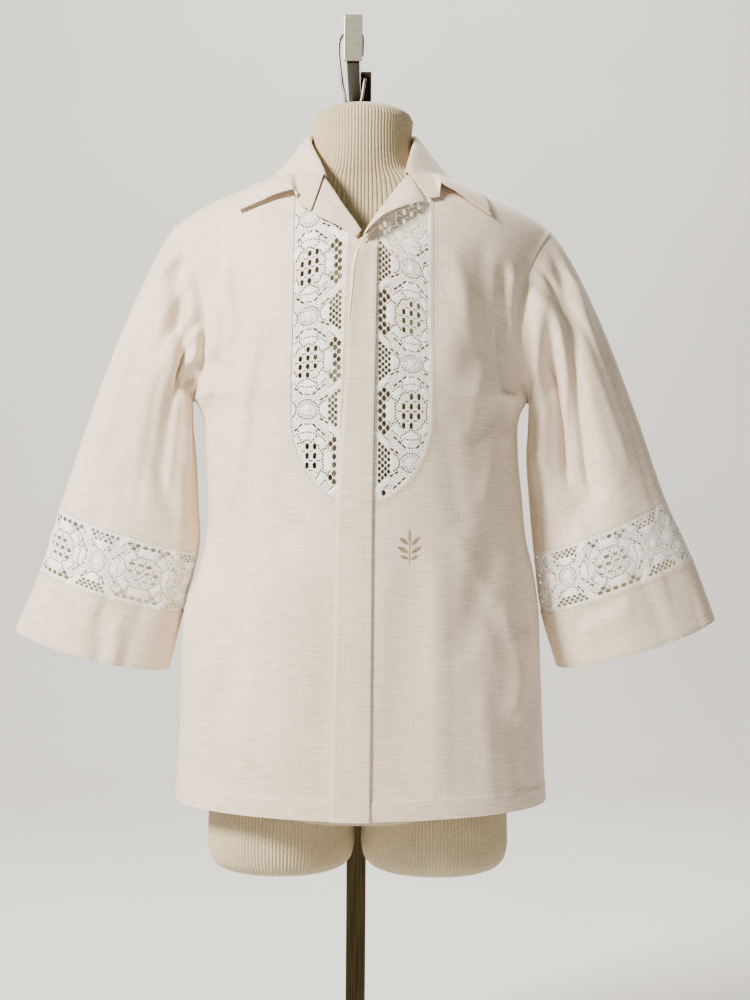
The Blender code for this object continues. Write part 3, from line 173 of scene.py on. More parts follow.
def read(shape, names, at, keys=None):
    """Columns of a table as smooth curves, read at values of its first column or of other keys."""
    keys = next(iter(shape.values())) if keys is None else keys
    return [smooth(keys, shape[name], at) for name in names.split()]


def ease(t):
    """0 up to 1, level at both ends."""
    t = np.clip(t, 0, 1)
    return t * t * (3 - 2 * t)


# Sleeves, from the armhole (along 0) to the lace (1), the cuff (1.25) and its edge (1.5).
# The over line runs down the outside of the arm and the under line down its inside.
LACE_TOP, LACE_BOTTOM, CUFF_BOTTOM = 1.0, 1.25, 1.5
SLEEVES = {
    RIGHT: table(
        "along over_x over_z under_x under_z",
        (0, 0.2275, 1.136, 0.199, 0.931),
        (0.05, 0.235, 1.1245, 0.2065, 0.9275),
        (0.15, 0.248, 1.1, 0.205, 0.913),
        (0.4, 0.285, 1.018, 0.1985, 0.872),
        (0.7, 0.325, 0.909, 0.1945, 0.81),
        (1, 0.359, 0.803, 0.1935, 0.75),
        (1.25, 0.381, 0.729, 0.211, 0.68),
        (1.5, 0.41, 0.657, 0.2275, 0.611),
    ),
    LEFT: table(
        "along over_x over_z under_x under_z",
        (0, 0.2275, 1.136, 0.199, 0.931),
        (0.05, 0.2355, 1.1265, 0.2065, 0.9275),
        (0.15, 0.249, 1.106, 0.205, 0.913),
        (0.4, 0.289, 1.024, 0.2, 0.874),
        (0.7, 0.331, 0.916, 0.203, 0.816),
        (1, 0.3655, 0.818, 0.209, 0.752),
        (1.25, 0.397, 0.749, 0.218, 0.682),
        (1.5, 0.425, 0.675, 0.237, 0.617),
    ),
}
SLEEVE_DEPTH = table(
    "along front back front_inset back_inset front_drop",
    (0, 0.06, 0.055, 0.031, 0.018, 0),
    (0.12, 0.059, 0.054, 0.016, 0.01, 0.001),
    (0.3, 0.057, 0.052, 0.004, 0.003, 0.002),
    (0.6, 0.053, 0.05, 0.001, 0.001, 0.005),
    (1, 0.049, 0.048, 0, 0, 0.008),
    (1.5, 0.047, 0.047, 0, 0, 0.009),
)

# Folds: where each starts and ends in its piece's own layout, its width and how far out it stands.
# Across is measured from the middle along the cloth, with the wearer's right negative.
SLEEVE_FOLD = "turn_start along_start turn_end along_end width depth"
PANEL_FOLD = "across_start height_start across_end height_end width depth"
SLEEVE_FOLDS = {
    RIGHT: table(
        SLEEVE_FOLD,
        (2.1, 0.16, 1.95, 0.75, 0.3, -0.01),
        (2.6, 0.1, 2.55, 0.55, 0.22, 0.005),
        (1.1, 0.1, 1.35, 0.95, 0.4, -0.005),
        (4.4, 0.18, 4.2, 0.9, 0.35, -0.008),
        (5.2, 0.15, 5, 1.2, 0.4, 0.004),
        (1.45, 1.15, 1.55, 1.6, 0.3, 0.003),
    ),
    LEFT: table(
        SLEEVE_FOLD,
        (1.85, 0.18, 1.8, 0.95, 0.42, -0.014),
        (1.35, 0.12, 1.25, 0.95, 0.24, 0.004),
        (2.75, 0.05, 2.6, 0.6, 0.25, 0.005),
        (4.5, 0.18, 4.3, 0.9, 0.35, -0.008),
        (5.3, 0.15, 5.1, 1.2, 0.4, 0.004),
        (1.6, 1.1, 1.7, 1.6, 0.3, 0.003),
    ),
}


FOLD_END = 0.15


def dent(a, b, folds):
    """How far the folds of a table stand out at points of a piece."""
    total = np.zeros_like(a)
    for a_start, b_start, a_end, b_end, width, depth in rows_of(folds):
        run_a, run_b = a_end - a_start, b_end - b_start
        along = ((a - a_start) * run_a + (b - b_start) * run_b) / (run_a**2 + run_b**2)
        near = np.clip(along, 0, 1)
        off = np.hypot(a - a_start - near * run_a, b - b_start - near * run_b)
        fade = ease((along + FOLD_END) / (2 * FOLD_END)) * ease((1 + FOLD_END - along) / (2 * FOLD_END))
        total += depth * fade * np.exp(-((off / width) ** 2))
    return total


# The step over which a creased surface's normals are taken
PROBE = 5e-4


def unit(vectors):
    return vectors / np.maximum(np.linalg.norm(vectors, axis=-1, keepdims=True), 1e-12)


def bare_sleeve(side, turn, along):
    """Points round a sleeve: turn 0 is its over line, a half turn its under line, the front between."""
    over_x, over_z, under_x, under_z = read(SLEEVES[side], "over_x over_z under_x under_z", along)
    names = "front back front_inset back_inset front_drop"
    front, back, front_inset, back_inset, front_drop = read(SLEEVE_DEPTH, names, along)
    sine, cosine = np.sin(turn), np.cos(turn)
    depth = np.where(sine > 0, front, back)
    inset = np.where(sine > 0, front_inset, back_inset) * sine**2
    x = (over_x + under_x) / 2 + (over_x - under_x) / 2 * cosine - inset
    z = (over_z + under_z) / 2 + (over_z - under_z) / 2 * cosine - front_drop * sine
    return together(side * x, -depth * sine, z)


def normals(surface, facing, a, b, step=1e-4):
    """The way out of a surface at points of its layout."""
    along_a = surface(a + step, b) - surface(a - step, b)
    along_b = surface(a, b + step) - surface(a, b - step)
    return facing * unit(np.cross(along_a, along_b))


def folded_sleeve(side, *layers):
    """A sleeve's surface with layers of folds, each of which fades out over its own length at the armhole."""

    def bare(turn, along):
        return bare_sleeve(side, turn, along)

    def surface(turn, along):
        around = np.mod(turn, 2 * np.pi)
        depth = sum(dent(around, along, folds) * ease(along / fade) for folds, fade in layers)
        return bare(turn, along) + normals(bare, side, turn, along) * depth[..., None]

    return surface


def armhole(side, turn):
    return bare_sleeve(side, turn, np.zeros_like(turn))


# The fronts: rows from the hem up to the shoulder seam. A row leaves its inner point, heads for
# its corner and ends at the side seam or the armhole. Height is measured up the middle.
FRONT = table(
    "height inner_right inner_left inner_y inner_z corner_x corner_y corner_lift round",
    (0.4505, 0, 0, -0.13, 0.4505, 0.219, -0.13, 0, 0.6),
    (0.56, 0, 0, -0.131, 0.56, 0.215, -0.131, 0, 0.6),
    (0.68, 0, 0, -0.132, 0.68, 0.211, -0.132, 0, 0.58),
    (0.765, 0, 0, -0.133, 0.765, 0.19, -0.133, 0, 0.57),
    (0.86, 0, 0, -0.134, 0.86, 0.188, -0.134, 0, 0.56),
    (0.929, 0, 0, -0.135, 0.929, 0.199, -0.135, 0, 0.56),
    (1, 0, 0, -0.1345, 1, 0.15, -0.136, 0.006, 0.58),
    (1.06, 0, 0, -0.131, 1.06, 0.135, -0.134, 0.008, 0.6),
    (1.108, -0.003, 0.003, -0.125, 1.108, 0.135, -0.127, 0.008, 0.6),
    (1.146, 0.019, 0.024, -0.103, 1.146, 0.142, -0.112, 0.006, 0.6),
    (1.186, 0.043, 0.05, -0.078, 1.184, 0.155, -0.086, 0.006, 0.6),
    (1.225, 0.061, 0.064, -0.04, 1.2, 0.175, -0.046, 0.007, 0.6),
    (1.262, 0.071, 0.071, 0, 1.207, 0.195, 0, 0.007, 0.6),
)
BACK = table(
    "height inner_right inner_left inner_y inner_z corner_x corner_y corner_lift round",
    (0.4505, 0, 0, 0.128, 0.4505, 0.219, 0.128, 0, 0.6),
    (0.56, 0, 0, 0.125, 0.56, 0.215, 0.125, 0, 0.6),
    (0.68, 0, 0, 0.121, 0.68, 0.211, 0.121, 0, 0.58),
    (0.765, 0, 0, 0.119, 0.765, 0.19, 0.119, 0, 0.57),
    (0.86, 0, 0, 0.119, 0.86, 0.188, 0.119, 0, 0.56),
    (0.929, 0, 0, 0.121, 0.929, 0.199, 0.121, 0, 0.56),
    (1, 0, 0, 0.122, 1, 0.155, 0.125, 0.006, 0.58),
    (1.06, 0, 0, 0.1205, 1.06, 0.14, 0.124, 0.008, 0.6),
    (1.12, 0, 0, 0.113, 1.12, 0.14, 0.116, 0.008, 0.6),
    (1.17, 0, 0, 0.095, 1.169, 0.15, 0.098, 0.006, 0.6),
    (1.2, 0, 0, 0.074, 1.198, 0.16, 0.076, 0.006, 0.6),
    (1.232, 0.053, 0.053, 0.05, 1.204, 0.178, 0.048, 0.007, 0.6),
    (1.262, 0.071, 0.071, 0, 1.207, 0.195, 0, 0.007, 0.6),
)

# The side seams below the armholes.
SIDES = table(
    "height right left rise",
    (0.4505, 0.2165, 0.223, 0.0095),
    (0.56, 0.212, 0.2185, 0.003),
    (0.63, 0.211, 0.216, 0),
    (0.69, 0.206, 0.213, 0),
    (0.725, 0.193, 0.208, 0),
    (0.765, 0.183, 0.199, 0),
    (0.82, 0.182, 0.193, 0),
    (0.88, 0.186, 0.188, 0),
    (0.905, 0.1875, 0.1885, 0.0004),
    (0.92, 0.1925, 0.193, 0.001),
    (0.929, 0.199, 0.199, 0.002),
)

# The largest folds of the fronts and the back
FRONT_FOLDS = table(
    PANEL_FOLD,
    (-0.128, 1.04, -0.15, 0.82, 0.01, 0.004),
    (-0.19, 1.02, -0.195, 0.9, 0.014, -0.006),
    (0.185, 1.08, 0.19, 0.9, 0.013, -0.008),
    (0.125, 1.09, 0.1, 0.96, 0.022, 0.0045),
    (0.085, 0.76, 0.09, 0.48, 0.01, 0.002),
    (0.17, 0.78, 0.12, 0.64, 0.02, -0.004),
    (0.215, 0.66, 0.19, 0.56, 0.014, 0.0045),
    (-0.17, 0.76, -0.14, 0.56, 0.026, -0.004),
    (-0.1, 0.74, -0.08, 0.47, 0.03, 0.003),
    (0.06, 0.74, 0.045, 0.48, 0.024, -0.0025),
)
BACK_FOLDS = table(
    PANEL_FOLD,
    (-0.15, 1.08, -0.13, 0.64, 0.022, 0.005),
    (0.155, 1.07, 0.12, 0.6, 0.024, 0.0055),
    (-0.06, 0.98, -0.07, 0.47, 0.03, -0.004),
    (0.04, 0.9, 0.055, 0.46, 0.026, 0.0035),
    (-0.19, 0.7, -0.17, 0.47, 0.022, 0.005),
    (0.2, 0.72, 0.185, 0.48, 0.02, -0.004),
    (0.185, 1.06, 0.195, 0.9, 0.014, -0.006),
    (-0.19, 1.06, -0.198, 0.9, 0.014, -0.006),
)
SEAM_FADE = 0.020
PANEL_PROBE = 1e-3
ROW_SAMPLES = 41


def bezier(controls, t):
    start, first, second, end = controls
    return (1 - t) ** 3 * start + 3 * t * (1 - t) ** 2 * first + 3 * t**2 * (1 - t) * second + t**3 * end


def row_curve(panel, side, height):
    """The four controls of the rows at these heights, and how far across their samples lie."""
    rows = BACK if panel == "back" else FRONT
    facing_turn = -1 if panel == "back" else 1
    inner_x = smooth(rows["height"], rows[sided("inner", side)], height)
    names = "inner_y inner_z corner_x corner_y corner_lift round"
    inner_y, inner_z, corner_x, corner_y, lift, pull = read(rows, names, height)
    inner = together(side * inner_x, inner_y, inner_z)
    side_x = smooth(SIDES["height"], SIDES[SIDE_NAMES[side]], height)
    side_z = height + smooth(SIDES["height"], SIDES["rise"], height)
    seam = together(side * side_x, np.zeros_like(height), side_z)
    climb = np.clip((height - UNDERARM_H) / (TOP_H - UNDERARM_H), 0, 1)
    edge = armhole(side, facing_turn * np.pi * (1 - climb))
    outer = np.where((height <= UNDERARM_H)[..., None], seam, edge)
    sideways = np.where(height <= UNDERARM_H, side_x, corner_x)
    corner = together(side * sideways, corner_y, (inner_z + outer[..., 2]) / 2 + lift)
    pull = pull[..., None]
    controls = (inner, inner + pull * (corner - inner), outer + pull * (corner - outer), outer)
    line = bezier(controls, np.linspace(0, 1, ROW_SAMPLES)[:, None, None])
    steps = np.linalg.norm(np.diff(line, axis=0), axis=-1)
    reach = np.concatenate([np.zeros((1, len(height))), np.cumsum(steps, axis=0)])
    return controls, inner_x + reach


def bare_panel(panel, across, height):
    across, height = np.broadcast_arrays(np.asarray(across, float), np.asarray(height, float))
    shape = across.shape
    across, height = across.ravel(), height.ravel()
    points = np.empty((len(across), 3))
    for side in (RIGHT, LEFT):
        mine = across < 0 if side == RIGHT else across >= 0
        if not mine.any():
            continue
        controls, reach = row_curve(panel, side, height[mine])
        wanted = side * across[mine]
        i = np.clip((reach <= wanted).sum(axis=0) - 1, 0, ROW_SAMPLES - 2)
        columns = np.arange(len(wanted))
        start, end = reach[i, columns], reach[i + 1, columns]
        t = (i + (wanted - start) / (end - start)) / (ROW_SAMPLES - 1)
        points[mine] = bezier(controls, t[:, None])
    return points.reshape(*shape, 3)


def folded_panel(panel, folds, edge_at):
    """The surface of the fronts or of the back, with folds that fade out at its seams."""
    facing = -1 if panel == "back" else 1

    def bare(across, height):
        return bare_panel(panel, across, height)

    def surface(across, height):
        across, height = np.broadcast_arrays(np.asarray(across, float), np.asarray(height, float))
        spare = np.where(across < 0, edge_at(RIGHT, height), edge_at(LEFT, height)) - np.abs(across)
        depth = dent(across, height, folds) * ease(spare / SEAM_FADE)
        return bare(across, height) + normals(bare, facing, across, height, PANEL_PROBE) * depth[..., None]

    return surface


def inner_edge(side, height):
    """How far across a front's roll line or neckline is."""
    return smooth(FRONT["height"], FRONT[sided("inner", side)], height)


def outer_edge(panel, side, height):
    """How far across the side seam or the armhole is, along the cloth."""
    return row_curve(panel, side, np.atleast_1d(np.asarray(height, float)))[1][-1]


def inside(points, loop):
    """Which points lie inside a closed loop."""
    x, y = points[:, 0], points[:, 1]
    result = np.zeros(len(points), dtype=bool)
    for (x0, y0), (x1, y1) in zip(loop, np.roll(loop, -1, axis=0)):
        crosses = (y0 > y) != (y1 > y)
        if y0 != y1:
            result ^= crosses & (x < (x1 - x0) * (y - y0) / (y1 - y0) + x0)
    return result


def off_loop(points, loop):
    """How far each point lies from a closed loop."""
    best = np.full(len(points), np.inf)
    for start, end in zip(loop, np.roll(loop, -1, axis=0)):
        edge = end - start
        away = points - start
        t = np.clip((away @ edge) / max(edge @ edge, 1e-18), 0, 1)
        best = np.minimum(best, np.hypot(away[:, 0] - t * edge[0], away[:, 1] - t * edge[1]))
    return best


def finer(loop, step):
    """A closed loop with points no further apart than the step."""
    out = []
    for start, end in zip(loop, np.roll(loop, -1, axis=0)):
        count = max(1, math.ceil(np.linalg.norm(end - start) / step))
        out.append(start + (end - start) * (np.arange(count) / count)[:, None])
    return np.concatenate(out)


# A loop with fewer points than this is a hole that the triangulation leaves whole
SMALL_HOLE = 20
ROW_PITCH = 0.87
EXTRA_BATCH = 400


# How near, in steps, a grid's points may come to the outline, to a hole and to the extra points,
# and how near the extra points may come to the outline
EDGE_CLEAR, HOLE_CLEAR, EXTRA_CLEAR, EXTRA_EDGE_CLEAR = 0.5, 0.35, 0.45, 0.3


def cut_flat(outline, holes, step, extra=None):
    """A flat piece cut to its outline, with its large and small holes, as points and triangles."""
    outline = np.asarray(outline, float)
    low, high = outline.min(axis=0), outline.max(axis=0)
    across, up = np.meshgrid(np.arange(low[0], high[0], step), np.arange(low[1], high[1], step * ROW_PITCH))
    across = across + (np.arange(across.shape[0]) % 2)[:, None] * step / 2
    grid = together(across.ravel(), up.ravel())
    grid = grid[inside(grid, outline)]
    grid = grid[off_loop(grid, outline) > EDGE_CLEAR * step]
    if extra is not None:
        extra = extra[inside(extra, outline)]
        extra = extra[off_loop(extra, outline) > EXTRA_EDGE_CLEAR * step]
        near = np.zeros(len(grid), dtype=bool)
        for start in range(0, len(extra), EXTRA_BATCH):
            away = np.linalg.norm(grid[:, None] - extra[None, start : start + EXTRA_BATCH], axis=-1)
            near |= away.min(axis=1) < EXTRA_CLEAR * step
        grid = np.concatenate([grid[~near], extra])
    for hole in holes:
        box = (np.abs(grid - hole.mean(axis=0)) < np.ptp(hole, axis=0) / 2 + step).all(axis=1)
        close = np.flatnonzero(box)
        if len(close):
            spots = grid[close]
            clash = inside(spots, hole) | (off_loop(spots, hole) < HOLE_CLEAR * step)
            grid = np.delete(grid, close[clash], axis=0)
    loops = [outline] + [np.asarray(hole, float) for hole in holes]
    points = np.concatenate(loops + [grid])
    owner = np.full(len(points), -1)
    edges, start = [], 0
    for number, loop in enumerate(loops):
        count = len(loop)
        owner[start : start + count] = number
        edges += [(start + i, start + (i + 1) % count) for i in range(count)]
        start += count
    made = delaunay_2d_cdt([tuple(point) for point in points], edges, [], 0, 1e-9)
    flat = np.array([tuple(point) for point in made[0]])
    triangles = np.array([face for face in made[2] if len(face) == 3])
    kept_owner = np.array([owner[sources[0]] if sources else -1 for sources in made[3]])
    owners = kept_owner[triangles]
    same = (owners[:, 0] == owners[:, 1]) & (owners[:, 1] == owners[:, 2])
    in_hole = same & (owners[:, 0] > 0) & (np.array([len(loop) < SMALL_HOLE for loop in loops])[owners[:, 0]])
    middles = flat[triangles].mean(axis=1)
    keep = ~in_hole & inside(middles, outline)
    for loop in loops[1:]:
        if len(loop) >= SMALL_HOLE:
            keep &= ~inside(middles, loop)
    return flat, triangles[keep]


def rim_of(triangles):
    """The edges that only one triangle has, each the way that its triangle runs."""
    edges = np.concatenate([triangles[:, [0, 1]], triangles[:, [1, 2]], triangles[:, [2, 0]]])
    back = {(b, a) for a, b in edges.tolist()}
    return [(a, b) for a, b in edges.tolist() if (a, b) not in back]


def add_piece(name, points, faces, finish, uv=None, sharp=50):
    """A piece of the shirt or its stand, riding on the one body."""
    mesh = bpy.data.meshes.new(name)
    mesh.from_pydata([tuple(point) for point in points], [], [tuple(face) for face in faces])
    mesh.update()
    mesh.shade_smooth()
    mesh.set_sharp_from_angle(angle=math.radians(sharp))
    if uv is not None:
        layer = mesh.uv_layers.new(name="flat")
        corners = np.empty(len(mesh.loops), dtype=np.int32)
        mesh.loops.foreach_get("vertex_index", corners)
        layer.data.foreach_set("uv", np.asarray(uv, float)[corners].ravel())
    made = bpy.data.objects.new(name, mesh)
    made.data.materials.append(finish)
    bpy.context.scene.collection.objects.link(made)
    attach(made, "root")
    return made


def stands_for(node):
    """Hides the solid that a piece takes the place of."""
    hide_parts(node)


def facets_out(flat, middle, triangles):
    """The outward direction at each point, from the triangles round it."""
    one, two = (middle[triangles[:, k]] - middle[triangles[:, 0]] for k in (1, 2))
    flat_one, flat_two = (flat[triangles[:, k]] - flat[triangles[:, 0]] for k in (1, 2))
    way = np.sign(flat_one[:, 0] * flat_two[:, 1] - flat_one[:, 1] * flat_two[:, 0])
    facet = np.cross(one, two) * way[:, None]
    out = np.zeros_like(middle)
    for k in range(3):
        np.add.at(out, triangles[:, k], facet)
    return unit(out)


def offset_at(offset, a, b):
    """An offset from a surface at points of its layout, from a number or a function."""
    return offset(a, b) if callable(offset) else np.broadcast_to(offset, a.shape)


def wall(name, surface, facing, flat, triangles, low, high, finish, sharp=50):
    """A thin shell of cloth between two offsets from a surface, with its flat layout as UVs."""
    a, b = flat[:, 0], flat[:, 1]
    middle = surface(a, b)
    out = facing * facets_out(flat, middle, triangles)
    low, high = offset_at(low, a, b), offset_at(high, a, b)
    points = np.concatenate([middle + out * high[:, None], middle + out * low[:, None]])
    count = len(flat)
    if facing < 0:
        triangles = triangles[:, ::-1]
    faces = triangles.tolist() + (triangles[:, ::-1] + count).tolist()
    faces += [(b, a, a + count, b + count) for a, b in rim_of(triangles)]
    return add_piece(name, points, faces, finish, np.concatenate([flat, flat]), sharp)


def grid_flat(a_values, b_values):
    """A flat grid of columns and rows as points and triangles."""
    columns, rows = a_values.shape
    flat = together(a_values, b_values).reshape(-1, 2)
    corner = (np.arange(columns - 1)[:, None] * rows + np.arange(rows - 1)).ravel()
    one = together(corner, corner + rows, corner + rows + 1)
    two = together(corner, corner + rows + 1, corner + 1)
    return flat, np.stack([one, two], axis=1).reshape(-1, 3)


def tube(name, surface, facing, turns, alongs, low, high, finish, scale):
    """A wall that closes round on itself, such as a sleeve, a cuff or the form's cover."""
    columns, rows = alongs.shape
    a = np.repeat(turns[:, None], rows, axis=1)
    middle = surface(a, alongs)
    out = normals(surface, facing, a, alongs)
    low, high = offset_at(low, a, alongs), offset_at(high, a, alongs)
    points = np.concatenate([(middle + out * side[..., None]).reshape(-1, 3) for side in (high, low)])
    count = columns * rows
    ring = np.arange(columns)
    after = (ring + 1) % columns
    faces = []
    for k in range(rows - 1):
        one, two = ring * rows + k, after * rows + k
        quad = together(one, two, two + 1, one + 1)
        outer, inner = (quad, quad[:, ::-1]) if facing > 0 else (quad[:, ::-1], quad)
        faces += outer.tolist() + (inner + count).tolist()
    for k, flip in ((0, True), (rows - 1, False)):
        one, two = ring * rows + k, after * rows + k
        rim = together(one, two, two + count, one + count)
        faces += (rim if (facing > 0) != flip else rim[:, ::-1]).tolist()
    uv = together(a * scale[0], alongs * scale[1]).reshape(-1, 2)
    return add_piece(name, points, faces, finish, np.concatenate([uv, uv]))


def area_of(flat, triangles):
    """The flat area of a cut piece."""
    one = flat[triangles[:, 1]] - flat[triangles[:, 0]]
    two = flat[triangles[:, 2]] - flat[triangles[:, 0]]
    return float(np.abs(one[:, 0] * two[:, 1] - one[:, 1] * two[:, 0]).sum() / 2)


def declare(flat, triangles, rests_on):
    """Works out the flat area that a piece was cut to, and keeps nothing of it."""
    area_of(flat, triangles)


# Materials


def nodes_of(name, colour, roughness, metallic=0.0):
    made = bpy.data.materials.new(name)
    made.use_nodes = True
    tree = made.node_tree
    shader = tree.nodes["Principled BSDF"]
    shader.inputs["Base Color"].default_value = (*colour, 1)
    shader.inputs["Roughness"].default_value = roughness
    shader.inputs["Metallic"].default_value = metallic
    return made, tree, shader


def stretched_noise(tree, source, scale, detail):
    """Noise read at UV or object coordinates that are stretched first."""
    spot = tree.nodes.new("ShaderNodeTexCoord")
    mapping = tree.nodes.new("ShaderNodeMapping")
    mapping.inputs["Scale"].default_value = scale
    noise = tree.nodes.new("ShaderNodeTexNoise")
    noise.inputs["Scale"].default_value = 1
    noise.inputs["Detail"].default_value = detail
    tree.links.new(spot.outputs[source], mapping.inputs["Vector"])
    tree.links.new(mapping.outputs["Vector"], noise.inputs["Vector"])
    return noise.outputs["Fac"]


def mix_numbers(tree, first, second, operation):
    node = tree.nodes.new("ShaderNodeMath")
    node.operation = operation
    for i, value in enumerate((first, second)):
        if isinstance(value, (int, float)):
            node.inputs[i].default_value = value
        else:
            tree.links.new(value, node.inputs[i])
    return node.outputs[0]


def blended(tree, *parts):
    """Noises added up, each times its share."""
    total = None
    for noise, share in parts:
        part = mix_numbers(tree, noise, share, "MULTIPLY")
        total = part if total is None else mix_numbers(tree, total, part, "ADD")
    return total


def tinted(tree, shader, fac, dark, light, low, high):
    """A base colour that runs between two tones."""
    ramp = tree.nodes.new("ShaderNodeValToRGB")
    for element, position, tone in zip(ramp.color_ramp.elements, (low, high), (dark, light)):
        element.position, element.color = position, (*tone, 1)
    tree.links.new(fac, ramp.inputs["Fac"])
    tree.links.new(ramp.outputs["Color"], shader.inputs["Base Color"])


def bumped(tree, shader, height, distance, strength):
    bump = tree.nodes.new("ShaderNodeBump")
    bump.inputs["Distance"].default_value = distance
    bump.inputs["Strength"].default_value = strength
    tree.links.new(height, bump.inputs["Height"])
    tree.links.new(bump.outputs["Normal"], shader.inputs["Normal"])


# The noises of cloth, lace and jersey: their grain to a metre, along and across, and their detail
WEFT, WARP, SLUBS, CLOUD, GRAIN = (34, 900, 4), (760, 26, 3), (46, 430, 2), (9, 9, 2), (1500, 1900, 1)
FINE_LACE, COARSE_LACE = (520, 900, 2), (170, 170, 3)
KNIT, PATCHES = (700, 420, 2), (14, 14, 3)


def flat_noise(tree, shape):
    """Noise in a piece's own flat layout."""
    along, across, detail = shape
    return stretched_noise(tree, "UV", (along, across, 1), detail)


def slub_cloth(name, dark, light):
    """A plain weave whose thick weft threads show as fine uneven lines across the piece."""
    made, tree, shader = nodes_of(name, light, 0.62)
    weft, warp, slubs, cloud, grain = (flat_noise(tree, shape) for shape in (WEFT, WARP, SLUBS, CLOUD, GRAIN))
    threads = blended(tree, (weft, 0.6), (warp, 0.4))
    tone = blended(tree, (threads, 0.55), (slubs, 0.30), (cloud, 0.15))
    tinted(tree, shader, tone, dark, light, 0.40, 0.58)
    bumped(tree, shader, blended(tree, (tone, 1), (grain, 0.35)), 0.0009, 0.7)
    shader.inputs["Sheen Weight"].default_value = 0.18
    shader.inputs["Sheen Roughness"].default_value = 0.45
    return made


# Painted shade in the lace ground's pores: the pitch, tone, unevenness and edge of dark dots that stand for
# the shade seen through small holes
PORE_PITCH = 0.0027
PORE_SHADE_TONE = (0.430, 0.370, 0.275)
PORE_UNEVEN = 0.55
PORE_EDGE = (0.22, 0.36)


def paint_pore_shade(tree, shader):
    """Paints shade into a lace's tone in many small pores: dark dots for the shade seen through them."""
    spot = tree.nodes.new("ShaderNodeTexCoord")
    mapping = tree.nodes.new("ShaderNodeMapping")
    mapping.inputs["Scale"].default_value = (1 / PORE_PITCH, 1 / PORE_PITCH, 1)
    pore_cells = tree.nodes.new("ShaderNodeTexVoronoi")
    pore_cells.voronoi_dimensions = "2D"
    pore_cells.inputs["Scale"].default_value = 1
    pore_cells.inputs["Randomness"].default_value = PORE_UNEVEN
    edge = tree.nodes.new("ShaderNodeMapRange")
    edge.inputs["From Min"].default_value, edge.inputs["From Max"].default_value = PORE_EDGE
    blend = tree.nodes.new("ShaderNodeMix")
    blend.data_type = "RGBA"
    blend.inputs["A"].default_value = (*PORE_SHADE_TONE, 1)
    tree.links.new(spot.outputs["UV"], mapping.inputs["Vector"])
    tree.links.new(mapping.outputs["Vector"], pore_cells.inputs["Vector"])
    tree.links.new(pore_cells.outputs["Distance"], edge.inputs["Value"])
    tree.links.new(edge.outputs["Result"], blend.inputs["Factor"])
    tree.links.new(shader.inputs["Base Color"].links[0].from_socket, blend.inputs["B"])
    tree.links.new(blend.outputs["Result"], shader.inputs["Base Color"])


def lace_thread(name, dark, light, pores=False):
    """White thread, and with pores a ground knotted round many small holes, whose shade is painted as dark
    dots.
    """
    made, tree, shader = nodes_of(name, light, 0.8)
    tone = blended(tree, (flat_noise(tree, FINE_LACE), 0.6), (flat_noise(tree, COARSE_LACE), 0.4))
    tinted(tree, shader, tone, dark, light, 0.38, 0.56)
    bumped(tree, shader, tone, 0.0010, 0.8)
    shader.inputs["Sheen Weight"].default_value = 0.15
    # the pores' dark dots are painted shade
    if pores:
        paint_pore_shade(tree, shader)
    return made


def rib_jersey(name, dark, light):
    made, tree, shader = nodes_of(name, light, 0.9)
    knit, patches = flat_noise(tree, KNIT), flat_noise(tree, PATCHES)
    tinted(tree, shader, blended(tree, (knit, 0.7), (patches, 0.3)), dark, light, 0.34, 0.64)
    bumped(tree, shader, knit, 0.0008, 0.6)
    shader.inputs["Sheen Weight"].default_value = 0.25
    return made


def brushed(name, dark, light, roughness, grain):
    """Metal with fine lines, its grain to a metre along x, y and z."""
    made, tree, shader = nodes_of(name, light, roughness, 1.0)
    lines = stretched_noise(tree, "Object", grain, 4.0)
    tinted(tree, shader, lines, dark, light, 0.35, 0.65)
    bumped(tree, shader, lines, 0.0002, 0.5)
    return made


def spun_thread(name, dark, light):
    made, tree, shader = nodes_of(name, light, 0.5)
    twist = stretched_noise(tree, "Object", (1500, 1500, 1500), 1.0)
    tinted(tree, shader, twist, dark, light, 0.35, 0.65)
    shader.inputs["Sheen Weight"].default_value = 0.4
    return made


CLOTH = slub_cloth("cream slub cloth", (0.620, 0.503, 0.375), (0.840, 0.718, 0.562))
LACE = lace_thread("dense white lace", (0.820, 0.785, 0.705), (0.985, 0.970, 0.925))
# The open ground's finish carries painted shade in its pores.
SHADED_LACE_GROUND = lace_thread("open lace ground with painted pore shade", (0.830, 0.795, 0.715), (0.965, 0.945, 0.890), pores=True)
JERSEY = rib_jersey("ribbed jersey", (0.350, 0.282, 0.160), (0.580, 0.492, 0.312))
STEEL = brushed("brushed steel", (0.032, 0.023, 0.011), (0.078, 0.058, 0.031), 0.45, (900.0, 900.0, 14.0))
# The end plate: the arm's steel, much lighter here as a painted highlight where its face catches the light.
LIT_PLATE = brushed("brushed plate with painted highlight", (0.400, 0.375, 0.300), (0.560, 0.530, 0.440), 0.45, (60.0, 900.0, 1400.0))
WIRE = brushed("grey wire", (0.110, 0.110, 0.105), (0.300, 0.295, 0.280), 0.40, (300.0, 300.0, 40.0))
THREAD = spun_thread("cream thread", (0.560, 0.475, 0.370), (0.800, 0.720, 0.610))
TAN_THREAD = spun_thread("tan thread", (0.300, 0.190, 0.085), (0.560, 0.390, 0.210))


